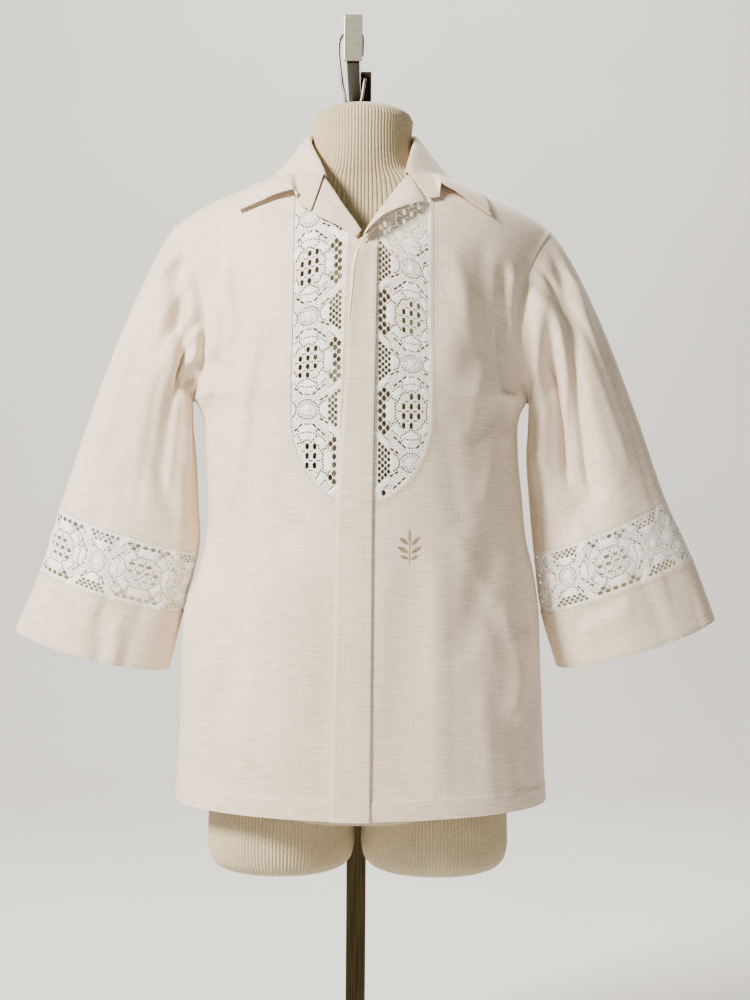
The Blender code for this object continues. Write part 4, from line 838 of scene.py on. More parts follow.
# Soft creases that only the looks need, beside the folds that the solids have.
FRONT_CREASES = table(
    PANEL_FOLD,
    (-0.1196, 1.0162, -0.1447, 0.8462, 0.006, 0.0034),
    (-0.129, 1.005, -0.156, 0.835, 0.009, -0.0018),
    (-0.168, 1.118, -0.156, 1.03, 0.006, 0.0034),
    (-0.156, 1.118, -0.144, 1.03, 0.009, -0.0012),
    (-0.165, 1.13, -0.18, 0.99, 0.012, 0.0024),
    (-0.135, 1.14, -0.13, 1.03, 0.011, -0.0012),
    (-0.095, 0.9, -0.115, 0.72, 0.016, 0.0012),
    (-0.17, 0.93, -0.13, 0.87, 0.008, -0.0018),
    (-0.18, 0.905, -0.15, 0.82, 0.009, 0.002),
    (-0.185, 0.83, -0.15, 0.74, 0.01, -0.0016),
    (-0.055, 0.78, -0.06, 0.56, 0.014, 0.001),
    (-0.12, 0.67, -0.135, 0.49, 0.012, 0.0016),
    (-0.16, 0.62, -0.175, 0.47, 0.013, -0.002),
    (-0.04, 0.6, -0.038, 0.47, 0.008, -0.0007),
    (0.11, 1.12, 0.135, 1.01, 0.012, 0.0026),
    (0.15, 1.14, 0.155, 1, 0.014, -0.0026),
    (0.178, 1.13, 0.186, 1.03, 0.007, -0.0042),
    (0.193, 1.135, 0.202, 1.05, 0.0065, 0.005),
    (0.185, 1.03, 0.196, 0.95, 0.007, -0.004),
    (0.2, 0.95, 0.2, 0.88, 0.008, 0.003),
    (-0.182, 1.09, -0.193, 1.02, 0.007, 0.0038),
    (-0.17, 1.07, -0.182, 0.99, 0.008, -0.0034),
    (-0.193, 0.96, -0.198, 0.88, 0.008, -0.0036),
    (-0.179, 0.95, -0.182, 0.87, 0.008, 0.003),
    (0.145, 0.99, 0.135, 0.89, 0.01, 0.0018),
    (0.175, 0.93, 0.135, 0.87, 0.009, -0.002),
    (0.18, 0.905, 0.15, 0.81, 0.01, 0.0024),
    (0.1, 0.9, 0.118, 0.77, 0.012, -0.0014),
    (0.098, 0.76, 0.102, 0.47, 0.0042, 0.001),
    (0.11, 0.77, 0.16, 0.69, 0.012, 0.0022),
    (0.13, 0.73, 0.18, 0.63, 0.01, -0.002),
    (0.175, 0.69, 0.2, 0.63, 0.007, 0.0026),
    (0.19, 0.67, 0.21, 0.6, 0.006, -0.0022),
    (0.145, 0.6, 0.155, 0.47, 0.012, 0.002),
    (0.19, 0.56, 0.198, 0.47, 0.01, -0.002),
    (0.03, 0.73, 0.025, 0.56, 0.009, 0.0007),
)
BACK_CREASES = table(
    PANEL_FOLD,
    (-0.17, 1.15, -0.15, 1, 0.012, 0.0024),
    (0.165, 1.15, 0.15, 0.99, 0.011, -0.002),
    (-0.175, 0.92, -0.13, 0.84, 0.009, 0.002),
    (0.175, 0.92, 0.125, 0.83, 0.01, -0.002),
    (-0.1, 1.14, -0.09, 0.98, 0.014, -0.0012),
    (0.09, 1.13, 0.1, 0.95, 0.013, 0.0014),
    (-0.025, 0.88, -0.03, 0.6, 0.016, 0.0014),
    (0.01, 0.76, 0.015, 0.5, 0.012, -0.0012),
    (-0.125, 0.82, -0.11, 0.63, 0.011, -0.0018),
    (0.135, 0.8, 0.145, 0.64, 0.012, 0.002),
    (-0.145, 0.65, -0.145, 0.48, 0.012, 0.0022),
    (0.09, 0.64, 0.095, 0.47, 0.011, -0.0016),
    (0.165, 0.62, 0.16, 0.47, 0.012, 0.0022),
    (-0.09, 0.6, -0.095, 0.47, 0.011, 0.0016),
)
SLEEVE_CREASES = {
    RIGHT: table(
        SLEEVE_FOLD,
        (0.84, 0.05, 1.24, 0.09, 0.06, -0.007),
        (1.24, 0.09, 1.62, 0.17, 0.07, -0.011),
        (1.62, 0.14, 1.98, 0.1, 0.06, -0.012),
        (0.6, 0.13, 1.3, 0.21, 0.09, 0.006),
        (1.05, 0.035, 1.7, 0.075, 0.06, 0.007),
        (1.75, 0.05, 2.12, 0.06, 0.07, 0.011),
        (1.5, 0.23, 1.85, 0.19, 0.08, 0.007),
        (1.95, 0.17, 2.35, 0.11, 0.07, -0.012),
        (2.35, 0.11, 2.55, 0.04, 0.07, -0.01),
        (0.7, 0.1, 0.9, 0.8, 0.12, 0.0016),
        (1.6, 0.3, 1.7, 0.9, 0.1, -0.0022),
        (2.25, 0.25, 2.15, 0.7, 0.08, 0.0026),
        (2.85, 0.15, 2.75, 0.75, 0.09, -0.0026),
        (1.25, 0.7, 1.45, 1.3, 0.12, 0.0016),
        (2.45, 0.6, 2.4, 1.3, 0.12, 0.0018),
        (2.1, 1.2, 2.05, 1.6, 0.1, -0.0016),
        (1.55, 1.3, 1.75, 1.5, 0.08, -0.0032),
        (1.8, 1.32, 1.95, 1.5, 0.07, 0.0026),
        (0.95, 1.2, 1, 1.6, 0.12, -0.0012),
        (3.8, 0.15, 3.75, 0.8, 0.1, 0.0026),
        (4.8, 0.2, 4.7, 0.9, 0.12, -0.002),
        (5.55, 0.3, 5.4, 1.1, 0.12, 0.0018),
        (4.1, 0.8, 4.05, 1.4, 0.12, 0.0016),
    ),
    LEFT: table(
        SLEEVE_FOLD,
        (0.6, 0.12, 1.3, 0.33, 0.09, -0.007),
        (1.3, 0.33, 1.64, 0.8, 0.09, -0.0085),
        (1.25, 0.16, 1.8, 0.48, 0.08, 0.0065),
        (1.72, 0.26, 2.02, 0.7, 0.07, -0.0075),
        (0.95, 0.09, 1.15, 0.22, 0.06, -0.0055),
        (0.55, 0.2, 0.85, 0.33, 0.12, 0.004),
        (1.25, 0.07, 2.15, 0.18, 0.07, 0.009),
        (2.15, 0.26, 2.4, 0.62, 0.12, 0.005),
        (1.05, 0.3, 0.95, 0.8, 0.1, 0.0018),
        (2.6, 0.25, 2.55, 0.9, 0.08, -0.0026),
        (0.55, 0.3, 0.65, 1.1, 0.14, -0.0012),
        (1.9, 0.9, 1.95, 1.18, 0.1, 0.0018),
        (2.3, 1.315, 1.6, 1.28, 0.045, -0.003),
        (2.2, 1.35, 1.55, 1.32, 0.05, 0.0026),
        (1, 1.3, 0.6, 1.46, 0.1, -0.002),
        (1.3, 1.1, 1.25, 1.6, 0.1, -0.0014),
        (2.5, 1.1, 2.5, 1.6, 0.12, 0.0016),
        (3.75, 0.15, 3.8, 0.85, 0.1, -0.0026),
        (4.85, 0.2, 4.75, 0.95, 0.12, 0.0022),
        (5.6, 0.3, 5.5, 1.1, 0.12, -0.0016),
        (4.15, 0.8, 4.1, 1.4, 0.12, 0.0016),
    ),
}
PANEL_FOLDS = {"front": (FRONT_FOLDS, FRONT_CREASES), "back": (BACK_FOLDS, BACK_CREASES)}
SLEEVE_FOLD_FADE, SLEEVE_CREASE_FADE = 0.12, 0.045


def body(panel):
    """The surface of the fronts or of the back as the solids have it, with only its largest folds."""
    return folded_panel(
        panel, PANEL_FOLDS[panel][0],
        lambda side, height: outer_edge(panel, side, height.ravel()).reshape(height.shape),
    )


def creased_body(panel):
    """The surface of the fronts or of the back, with its folds and its finer creases."""
    folds, creases = PANEL_FOLDS[panel]
    heights = run(HEM_Z - 0.004, TOP_H + 0.004, 500)
    edges = {side: outer_edge(panel, side, heights) for side in (RIGHT, LEFT)}
    return folded_panel(
        panel, {name: np.concatenate([folds[name], creases[name]]) for name in folds},
        lambda side, height: np.interp(height, heights, edges[side]),
    )


def creased_sleeve(side):
    return folded_sleeve(
        side, (SLEEVE_FOLDS[side], SLEEVE_FOLD_FADE), (SLEEVE_CREASES[side], SLEEVE_CREASE_FADE)
    )


# Stitching: short raised threads along a line that lies on a surface.
STITCH_STEP = 0.0030
STITCH_LENGTH = 0.0022
STITCH_WIDE = 0.00060
STITCH_RISE = 0.00055
# The faces of a thread between its two ends, 0 and 5, over the four points round its middle
THREAD_FACES = ((0, 2, 1), (0, 3, 2), (0, 4, 3), (0, 1, 4), (5, 1, 2), (5, 2, 3), (5, 3, 4), (5, 4, 1))


def stitch_points(surface, facing, path, lift):
    """The two ends of each stitch along a path in the surface's own layout, and the way out there."""
    a, b = np.asarray(path, float).T
    reach = reach_along(surface(a, b))
    count = max(2, int(reach[-1] / STITCH_STEP))
    starts = np.arange(count) * STITCH_STEP + (STITCH_STEP - STITCH_LENGTH) / 2
    spots = []
    for reaches in (starts, starts + STITCH_LENGTH):
        at_a, at_b = np.interp(reaches, reach, a), np.interp(reaches, reach, b)
        out = normals(surface, facing, at_a, at_b, PROBE)
        spots.append(surface(at_a, at_b) + out * offset_at(lift, at_a, at_b)[:, None])
    return spots[0], spots[1], out


def threads(name, lots, finish, wide=STITCH_WIDE, rise=STITCH_RISE, more=None):
    """Many short threads in one mesh, each bowed out between its two ends, with more points and faces."""
    points, faces, base = [], [], 0
    for start, end, out in lots:
        run_on = end - start
        sideways = unit(np.cross(run_on, out)) * wide / 2
        middle = (start + end) / 2
        ring = [middle + sideways, middle + out * rise, middle - sideways, middle - out * rise * 0.5]
        shape = np.stack([start, *ring, end], axis=1)
        points.append(shape.reshape(-1, 3))
        heads = base + np.arange(len(start)) * 6
        faces += [tuple(head + v for v in face) for head in heads for face in THREAD_FACES]
        base += len(start) * 6
    if more:
        points.append(more[0])
        faces += [tuple(base + v for v in face) for face in more[1]]
    made = add_piece(name, np.concatenate(points), faces, finish, sharp=80)


# The fronts and the back
CLOTH_HALF = 0.00048
PANEL_STEP = 0.0065
HEM_TURN = 0.0007
BIB_ROLL = 0.0006
BIB_ROLL_WIDTH = 0.0035
ARMHOLE_RIDGE, RIDGE_FLAT, RIDGE_WIDE = 0.0010, 0.0024, 0.0046
HOLE_STEP, BACK_EDGE_STEP = 0.0045, 0.0075

HALF_SEAM = SEAM / 2
FRONT_OUTER = WALL / 2 + REST_GAP
ROLL_SETBACK = 0.0036
NECK_SETBACK = 0.0018
FRONTS_MEET = 0.003

# The placket: its free left edge and its seam, across the front.
PLACKET = table(
    "height free_edge seam",
    (0.4485, -0.0303, 0.014),
    (0.62, -0.0265, 0.0146),
    (0.826, -0.0231, 0.015),
    (0.944, -0.0158, 0.0165),
    (1.05, -0.0111, 0.018),
    (1.08, -0.0085, 0.0185),
    (1.098, -0.003, 0.0186),
)

# The bib: a U cut from each front and filled with lace.
BIB_HALF_WIDTH = {RIGHT: 0.0780, LEFT: 0.0815}
BIB_CURVE_H = 0.905
BIB_CURVE_DROP = 0.100
BIB_TOP_INNER = {RIGHT: 1.120, LEFT: 1.128}
BIB_TOP_OUTER = 1.188
BIB_INNER = {RIGHT: (0.0152, 0.0304), LEFT: (0.0191, -0.0120)}
BIB_INNER_H = 1.087
BIB_POINTS = 60


def bib_inner(side, height):
    start, slope = BIB_INNER[side]
    return start + (BIB_INNER_H - height) * slope


def bib_outline(side, grow):
    """The bib lace's outline on one side, grown or shrunk by the seam."""
    wide, drop = BIB_HALF_WIDTH[side] + grow, BIB_CURVE_DROP + grow
    inner_low = bib_inner(side, BIB_CURVE_H - drop) - grow
    start_turn = math.acos(inner_low / wide)
    turns = run(start_turn, 0, BIB_POINTS)
    curve = together(wide * np.cos(turns), BIB_CURVE_H - drop * np.sin(turns))
    inner_top = bib_inner(side, BIB_TOP_INNER[side])
    slope = (BIB_TOP_OUTER - BIB_TOP_INNER[side]) / (BIB_HALF_WIDTH[side] - inner_top)
    rise = grow * math.hypot(1, slope)
    top_outer = np.array([wide, BIB_TOP_OUTER + slope * grow + rise])
    top_inner = np.array([inner_top - grow, BIB_TOP_INNER[side] - slope * grow + rise])
    up = run(0, 1, BIB_POINTS)[1:, None] * (top_outer - curve[-1]) + curve[-1]
    over = run(0, 1, 6)[1:, None] * (top_inner - top_outer) + top_outer
    down = run(0, 1, BIB_POINTS + 3)[1:-1, None] * (curve[0] - top_inner) + top_inner
    loop = np.concatenate([curve, up, over, down])
    return loop * [side, 1]


def level(across, height):
    """Points in a row at one height."""
    return together(across, np.full_like(across, height))


def side_edge(panel, side, hem_start, neck_end):
    """Half a panel's cut edge: the hem, the side seam, the armhole and the shoulder."""
    heights = np.concatenate([run(HEM_Z, UNDERARM_H, 70), run(UNDERARM_H, TOP_H - HALF_SEAM, 42)[1:]])
    outer = outer_edge(panel, side, heights) - HALF_SEAM
    hem = level(run(hem_start, outer[0], 34)[:-1], HEM_Z)
    shoulder = level(run(outer[-1], neck_end + NECK_SETBACK, 24)[1:], TOP_H - HALF_SEAM)
    return [hem, together(outer, heights), shoulder]


def front_outline(side):
    """A front's cut edge: hem, side seam, armhole, shoulder, neckline, roll line and middle."""
    meet = FRONTS_MEET * side - HALF_SEAM
    neck_heights = run(TOP_H - HALF_SEAM, BREAK_H + ROLL_SETBACK, 34)[1:]
    near_roll = ease((BREAK_H + 0.09 - neck_heights) / 0.03)
    setback = NECK_SETBACK + (ROLL_SETBACK - NECK_SETBACK) * near_roll
    neck = together(inner_edge(side, neck_heights) + setback, neck_heights)
    middle_heights = run(BREAK_H - 0.004, HEM_Z, 90)[:-1]
    middle = together(np.full_like(middle_heights, -meet), middle_heights)
    edge = side_edge("front", side, -meet, inner_edge(side, TOP_H))
    return np.concatenate([*edge, neck, middle]) * [side, 1]


def hem_creases(outline):
    """Rows of points where the hem's fold ends."""
    low, high = outline[:, 0].min(), outline[:, 0].max()
    across = np.arange(low + 0.004, high - 0.004, 0.006)
    return np.concatenate([level(across, HEM_Z + HEM_HEIGHT + h) for h in (-0.0004, 0.0006)])


def hem_rise(b):
    """How far the turned hem stands out."""
    return HEM_TURN * ease((HEM_Z + HEM_HEIGHT - b) / 0.001 + 0.5)


def ring_round(loop, out):
    """A closed loop moved outward by a distance."""
    edge = np.roll(loop, -1, axis=0) - np.roll(loop, 1, axis=0)
    away = together(edge[:, 1], -edge[:, 0])
    away /= np.maximum(np.linalg.norm(away, axis=-1, keepdims=True), 1e-9)
    turn = np.sign(np.sum(loop[:, 0] * np.roll(loop[:, 1], -1) - loop[:, 1] * np.roll(loop[:, 0], -1)))
    return loop + away * out * turn


SURFACES = {"front": creased_body("front"), "back": creased_body("back")}


def make_front(side):
    outline = front_outline(side)
    hole = finer(bib_outline(side, HALF_SEAM), HOLE_STEP)
    heights = run(UNDERARM_H + 0.004, TOP_H - 0.012, 70)
    armhole = outer_edge("front", side, heights)
    ridge_rows = [together(side * (armhole - back), heights) for back in (RIDGE_FLAT, RIDGE_WIDE)]
    rolls = [ring_round(hole, BIB_ROLL_WIDTH * share) for share in (0.5, 1)]
    extra = np.concatenate([hem_creases(outline), *rolls, *ridge_rows])
    flat, triangles = cut_flat(outline, [hole], PANEL_STEP, extra[~inside(extra, hole)])

    def high(a, b):
        near = off_loop(together(a, b), hole)
        from_armhole = np.where(b > UNDERARM_H, outer_edge("front", side, b) - side * a, 1.0)
        ridge = ease((RIDGE_WIDE - from_armhole) / (RIDGE_WIDE - RIDGE_FLAT)) * ease((b - UNDERARM_H) / 0.02)
        bib_roll = BIB_ROLL * ease((BIB_ROLL_WIDTH - near) / (0.6 * BIB_ROLL_WIDTH))
        return CLOTH_HALF + hem_rise(b) + ARMHOLE_RIDGE * ridge + bib_roll

    name = sided("shirt_front", side)
    made = wall(name, SURFACES["front"], 1, flat, triangles, -CLOTH_HALF, high, CLOTH)
    stands_for(sided("front", side))
    declare(flat, triangles, ["form_cover"])


def make_back():
    loops = []
    neck_heights = run(TOP_H - HALF_SEAM, BACK_NECK_H, 20)[1:]
    neck_across = smooth(BACK["height"], BACK["inner_left"], neck_heights) + NECK_SETBACK
    neck_across[-1] = neck_across[-2] * 0.5
    for side in (RIGHT, LEFT):
        edge = side_edge("back", side, 0, BACK["inner_left"][-1])
        loops.append(np.concatenate([*edge, together(neck_across, neck_heights)]) * [side, 1])
    outline = finer(np.concatenate([loops[1], loops[0][1:][::-1]]), BACK_EDGE_STEP)
    flat, triangles = cut_flat(outline, [], PANEL_STEP * 1.1, hem_creases(outline))
    made = wall(
        "shirt_back", SURFACES["back"], -1, flat, triangles,
        -CLOTH_HALF, lambda a, b: CLOTH_HALF + hem_rise(b), CLOTH,
    )
    stands_for("back")
    declare(flat, triangles, ["form_cover"])


# The lace, charted in millimetres for one repeat. Along is measured from the daisy's middle towards
# the medallion's, across from the band's middle, and most forms are mirrored both ways.
MM = 0.001
LACE_HALF = 0.00032
LACE_STEP, LACE_EDGE_STEP = 0.0017, 0.0025
LACE_EDGE_GAP, LACE_EDGE_FADE = 0.0009, 0.003
HOLE_GAP = 0.4
REPEAT = 110.0
HALF_REPEAT = REPEAT / 2
WAFFLE_PITCH = 10.3
WAFFLE_HOLE = (3.5, 2.25)
WAFFLE_ROWS = table("across count shift", (-8.7, 3, -0.5), (0, 4, 0), (8.7, 3, 0.5))

# Petals and rings: their middle, their half sizes, how high they are domed and how many scallops.
PETALS = table(
    "along across half_along half_across rise scallops",
    (0, 20.8, 8, 6.6, 0.75, 0),
    (24.6, 0, 8.6, 10.2, 0.75, 5),
)
RING = (10.2, 12.0)
RING_INNER = (7.0, 8.6)
SQUARE = 3.0
CROWN_INNER = (21.5, 18.6)
CROWN_OUTER = (30.5, 29.0)
CROWN_SPLITS = (20.0, 60.0)

# Slits round a form: their pitch, length and width.
PETAL_SLITS, RING_SLITS, RING_INNER_SLITS = (3.3, 2.45, 1.85), (3.1, 2.25, 1.75), (2.8, 1.7, 1.15)
CROWN_INNER_SLITS, CROWN_OUTER_SLITS = (3.3, 2.5, 1.85), (3.1, 2.2, 1.75)
PETAL_MARGIN = 0.9
CROWN_SCALLOPS = (10, 0.9)

# Single slits: their length and width, and where they stand.
SPOKE, SPOKE_REACH, SPOKE_STEP = (1.7, 0.65), (8.3, 9.9), 10
SPLIT, SPLIT_SHARES = (2.5, 1.75), (0.26, 0.56)
BAR, BAR_ACROSS = (5.2, 1.3), (-13.2, -4.35, 4.35, 13.2)

# Rows of open stitches: where each starts and ends, and the length, width and gap of a stitch.
SLIT_ROWS = table(
    "along_start across_start along_end across_end length width gap",
    (15, 5.5, 28.5, 20.8, 5.6, 2.1, 1),
    (9.2, 13.7, 15.4, 24.6, 5, 2.1, 1),
    (15.2, 26.6, 24.6, 38, 2.2, 1.9, 0.8),
    (24.2, 26, 34.2, 38, 2.2, 1.9, 0.8),
    (38.5, 22.5, 44.5, 26.5, 2, 1.8, 0.8),
)
LADDER = table("along across", (25.3, 21.9), (27.9, 24.3), (23.6, 24.3), (30.5, 22.6))
NETS = table(
    "middle pitch_along pitch_across rows hole_along hole_across first_across edge_at_26 edge_slope",
    (0, 6.6, 3.5, 4, 5.1, 4.2, 35.9, 14.4, 0.78),
    (55, 9, 4.3, 3, 7.2, 5.6, 35.3, 29.6, -0.8),
)
PETAL_LOBES, CROWN_LOBES, RING_WAVES = 5, 9, 22

# The dense bar between the nets: where it stands at its middle, its slope and its half width.
DENSE_BAND, BAND_MIDDLE, BAND_START, BAND_HALF = (20.0, 0.80), 26.5, 25, 3.4

# How dense the stitching is, from the open ground to 1.
RING_DENSE, GROUND_DENSE, BAND_DENSE, CROWN_DENSE, DENSE_FROM = 0.1, 0.35, 0.9, 0.95, 0.6


def loop_of(along, across, half_along, half_across, points, power=1.0, tilt=0.0):
    """A closed rounded loop round a middle."""
    turns = 2 * np.pi * (np.arange(points) + 0.5) / points
    cosine, sine = np.cos(turns), np.sin(turns)
    x = np.sign(cosine) * np.abs(cosine) ** power * half_along
    y = np.sign(sine) * np.abs(sine) ** power * half_across
    turned_x = x * math.cos(tilt) - y * math.sin(tilt)
    turned_y = x * math.sin(tilt) + y * math.cos(tilt)
    return together(along + turned_x, across + turned_y)


def open_stitch(middle, way, length, width):
    """A slit with pointed ends."""
    way = np.asarray(way, float) / np.linalg.norm(way)
    aside = np.array([-way[1], way[0]]) * width / 2
    middle = np.asarray(middle, float)
    start, end = middle - way * length / 2, middle + way * length / 2
    near, far = middle - way * length * 0.40, middle + way * length * 0.40
    return np.array([start, near - aside, far - aside, end, far + aside, near + aside])


def stitches_round(path, step, length, width, closed=True):
    """Slits along a path."""
    path = np.asarray(path, float)
    if closed:
        path = np.concatenate([path, path[:1]])
    reach = reach_along(path)
    count = max(1, int(round(reach[-1] / step)))
    spots = (np.arange(count) + 0.5) / count * reach[-1]
    ahead, behind = np.minimum(spots + 0.2, reach[-1]), np.maximum(spots - 0.2, 0)
    ways = read_at(ahead, reach, path) - read_at(behind, reach, path)
    return [open_stitch(spot, way, length, width) for spot, way in zip(read_at(spots, reach, path), ways)]


def ellipse(middle, halves, scallops=0, depth=0.7, points=72):
    turns = full_turn(points)
    swell = 1 + (depth / min(halves)) * np.cos(scallops * turns) if scallops else np.ones(points)
    return np.array(middle) + together(halves[0] * swell * np.cos(turns), halves[1] * swell * np.sin(turns))


def mirrored(loops):
    """The loops on all four sides of the daisy's middle."""
    return [loop * way for way in ([-1, -1], [-1, 1], [1, -1], [1, 1]) for loop in loops]


def net_holes(row):
    net = {name: NETS[name][row] for name in NETS}
    holes = []
    for k in range(int(net["rows"])):
        across = net["first_across"] - k * net["pitch_across"]
        edge = net["edge_at_26"] + net["edge_slope"] * (across - 26)
        for i in range(-6, 7):
            off = (i + 0.5 * (k % 2)) * net["pitch_along"]
            if abs(off) > edge - 0.42 * net["hole_along"]:
                continue
            if net["middle"] and in_ellipse(off, across - 1.6, CROWN_OUTER) < 1:
                continue
            halves = net["hole_along"] / 2, net["hole_across"] / 2
            holes += [loop_of(net["middle"] + off, way * across, *halves, 8, 1.2) for way in (-1, 1)]
    return holes


def chart_lace():
    """The openings of one repeat, from the daisy's middle, the most needed first."""
    holes = []
    for across, count, shift in rows_of(WAFFLE_ROWS):
        for i in range(int(count)):
            along = HALF_REPEAT + (i - (count - 1) / 2 + shift) * WAFFLE_PITCH
            holes.append(loop_of(along, across, *WAFFLE_HOLE, 10, 0.7))
    holes += net_holes(0) + net_holes(1)
    quarter = []
    for along_start, across_start, along_end, across_end, length, width, gap in rows_of(SLIT_ROWS):
        path = [(along_start, across_start), (along_end, across_end)]
        quarter += stitches_round(path, length + gap, length, width, closed=False)
    for along, across in rows_of(LADDER):
        quarter.append(loop_of(along, across, 0.95, 0.6, 6, 1.0, math.radians(45)))
    holes += mirrored(quarter)
    for along, across, half_along, half_across, _, scallops in rows_of(PETALS):
        halves = (half_along + PETAL_MARGIN, half_across + PETAL_MARGIN)
        stitches = stitches_round(ellipse((along, across), halves, int(scallops)), *PETAL_SLITS)
        over = [-1, 1] if along else [1, -1]
        holes += stitches + [stitch * over for stitch in stitches]
    holes += stitches_round(ellipse((0, 0), RING), *RING_SLITS)
    for turn in np.radians([start + k * SPOKE_STEP for start in (-40, 140) for k in range(9)]):
        way = np.array([math.sin(turn), math.cos(turn)])
        holes.append(open_stitch(way * SPOKE_REACH, way, *SPOKE))
    holes += stitches_round(ellipse((0, 0), RING_INNER), *RING_INNER_SLITS)
    middle = (HALF_REPEAT, 0)
    holes += stitches_round(ellipse(middle, CROWN_INNER, *CROWN_SCALLOPS), *CROWN_INNER_SLITS)
    holes += stitches_round(ellipse(middle, CROWN_OUTER), *CROWN_OUTER_SLITS)
    for turn in np.radians(CROWN_SPLITS):
        for way in ((1, 1), (1, -1), (-1, 1), (-1, -1)):
            ray = np.array([math.cos(turn), math.sin(turn)]) * way
            for share in SPLIT_SHARES:
                reach = [inner + (outer - inner) * share for inner, outer in zip(CROWN_INNER, CROWN_OUTER)]
                holes.append(open_stitch(np.array(middle) + ray * reach, ray, *SPLIT))
    for column in (-1, 0, 1):
        for across in BAR_ACROSS:
            holes.append(open_stitch((HALF_REPEAT + column * WAFFLE_PITCH, across), (0, 1), *BAR))
    return holes


def in_repeat(along):
    """Distance along from the nearest daisy's middle."""
    return np.abs(np.mod(along + HALF_REPEAT, REPEAT) - HALF_REPEAT)


def in_ellipse(one, two, halves):
    """How far out in an ellipse round 0 points lie: below 1 inside it, squared."""
    return (one / halves[0]) ** 2 + (two / halves[1]) ** 2


def lace_forms(along, across):
    """How far the stitching stands out, and how dense it is from 0 to 1, at millimetres of the chart."""
    d, v = in_repeat(along), np.abs(across)
    u = HALF_REPEAT - d
    rise, dense = np.zeros_like(d), np.full_like(d, GROUND_DENSE)
    for middle_along, middle_across, half_along, half_across, high, _ in rows_of(PETALS):
        one, two = (d - middle_along) / half_along, (v - middle_across) / half_across
        lobes = np.cos(PETAL_LOBES * np.arctan2(two, one))
        off = (one**2 + two**2) / (1 + 0.10 * lobes) ** 2
        groove = 1 - 0.45 * ease((0.2 - lobes) / 0.9) * ease((off - 0.08) / 0.2)
        rise = np.maximum(rise, high * groove * np.clip(1 - off, 0, 1) ** 0.5)
        dense = np.where(off < 1, 1.0, dense)
    crown_in, crown_out = in_ellipse(u, v, CROWN_INNER), in_ellipse(u, v, CROWN_OUTER)
    on_crown = (crown_in > 1.05) & (crown_out < 0.97)
    middle_of_crown = np.clip((crown_in - 1.05) / 0.5, 0, 1) * np.clip((0.97 - crown_out) / 0.25, 0, 1)
    lobes = np.cos(CROWN_LOBES * np.arctan2(v / CROWN_OUTER[1], u / CROWN_OUTER[0]))
    rise = np.where(on_crown, np.maximum(rise, (0.38 + 0.22 * lobes) * middle_of_crown**0.5), rise)
    dense = np.where(on_crown & (lobes > -0.25), CROWN_DENSE, dense)
    ring = np.sqrt(in_ellipse(d, v, RING))
    rise = np.where(ring < 1, 0.25 + 0.22 * np.cos(ring * RING_WAVES), rise)
    dense = np.where(ring < 1, RING_DENSE, dense)
    square = np.maximum(d, v) < SQUARE
    rise = np.where(square, 1.0, rise)
    dense = np.where(square, 1.0, dense)
    start, slope = DENSE_BAND
    from_band = np.abs(d - (start + slope * (v - BAND_MIDDLE)))
    bar = (from_band < BAND_HALF) & (v > BAND_START)
    dome = 0.5 * np.sqrt(np.clip(1 - (from_band / BAND_HALF) ** 2, 0, 1))
    rise = np.where(bar, np.maximum(rise, dome), rise)
    dense = np.where(bar, BAND_DENSE, dense)
    return rise * MM, dense


def all_clear(holes, outline, gap):
    """Which holes lie wholly inside an outline, with a gap to spare."""
    points = np.concatenate(holes)
    fine = inside(points, outline) & (off_loop(points, outline) > gap)
    starts = np.concatenate([[0], np.cumsum([len(hole) for hole in holes])[:-1]])
    return np.logical_and.reduceat(fine, starts)


def apart(holes, gap):
    """Drops a later hole that comes too near an earlier one."""
    kept, centres, sizes = [], np.zeros((0, 2)), np.zeros(0)
    for hole in holes:
        centre = hole.mean(axis=0)
        size = np.linalg.norm(hole - centre, axis=1).max()
        near = np.flatnonzero(np.linalg.norm(centres - centre, axis=1) < sizes + size + gap)
        clash = (
            off_loop(hole, loop).min() < gap or off_loop(loop, hole).min() < gap or inside(hole[:1], loop)[0]
            for loop in (kept[i] for i in near)
        )
        if not any(clash):
            kept.append(hole)
            centres = np.concatenate([centres, centre[None]])
            sizes = np.append(sizes, size)
    return kept


def whole_repeat():
    """One repeat's openings, which also clear those of the next repeat."""
    chart = chart_lace()
    clear = apart([hole + [shift, 0] for shift in (0, REPEAT) for hole in chart], HOLE_GAP)
    from_middle = [hole[:, 0].mean() - HALF_REPEAT for hole in clear]
    return [hole for hole, away in zip(clear, from_middle) if -HALF_REPEAT * 0.999 <= away <= HALF_REPEAT]


LACE_HOLES = whole_repeat()


def place_lace(start, end, phase, stretch, to_layout, outline):
    """The chart's openings along a stretch of band, where they clear the piece's own edge."""
    holes = []
    step = REPEAT * MM * stretch
    for repeat in range(math.floor((start - phase) / step) - 1, math.ceil((end - phase) / step) + 2):
        for hole in LACE_HOLES:
            placed = hole * MM * [stretch, 1] + [phase + repeat * step, 0]
            holes.append(to_layout(placed))
    return [hole for hole, fine in zip(holes, all_clear(holes, outline, LACE_EDGE_GAP)) if fine]


def finish_lace(made, dense_of, flat, triangles):
    """Gives the dense stitching and the lighter ground their own finishes; the ground's finish carries
    painted pore shade.
    """
    made.data.materials.append(SHADED_LACE_GROUND)
    middles = flat[triangles].mean(axis=1)
    ground = (dense_of(*middles.T) < DENSE_FROM).astype(np.int32)
    index = np.ones(len(made.data.polygons), dtype=np.int32)
    index[: 2 * len(ground)] = np.tile(ground, 2)
    made.data.polygons.foreach_set("material_index", index)


BIB_LACE_MIDDLE = {RIGHT: -0.0590, LEFT: 0.0585}
BIB_LACE_PHASE = {RIGHT: 0.9110, LEFT: 0.9670}
BIB_STRETCH = 1.048
BIB_LACE_DROP = 0.0003


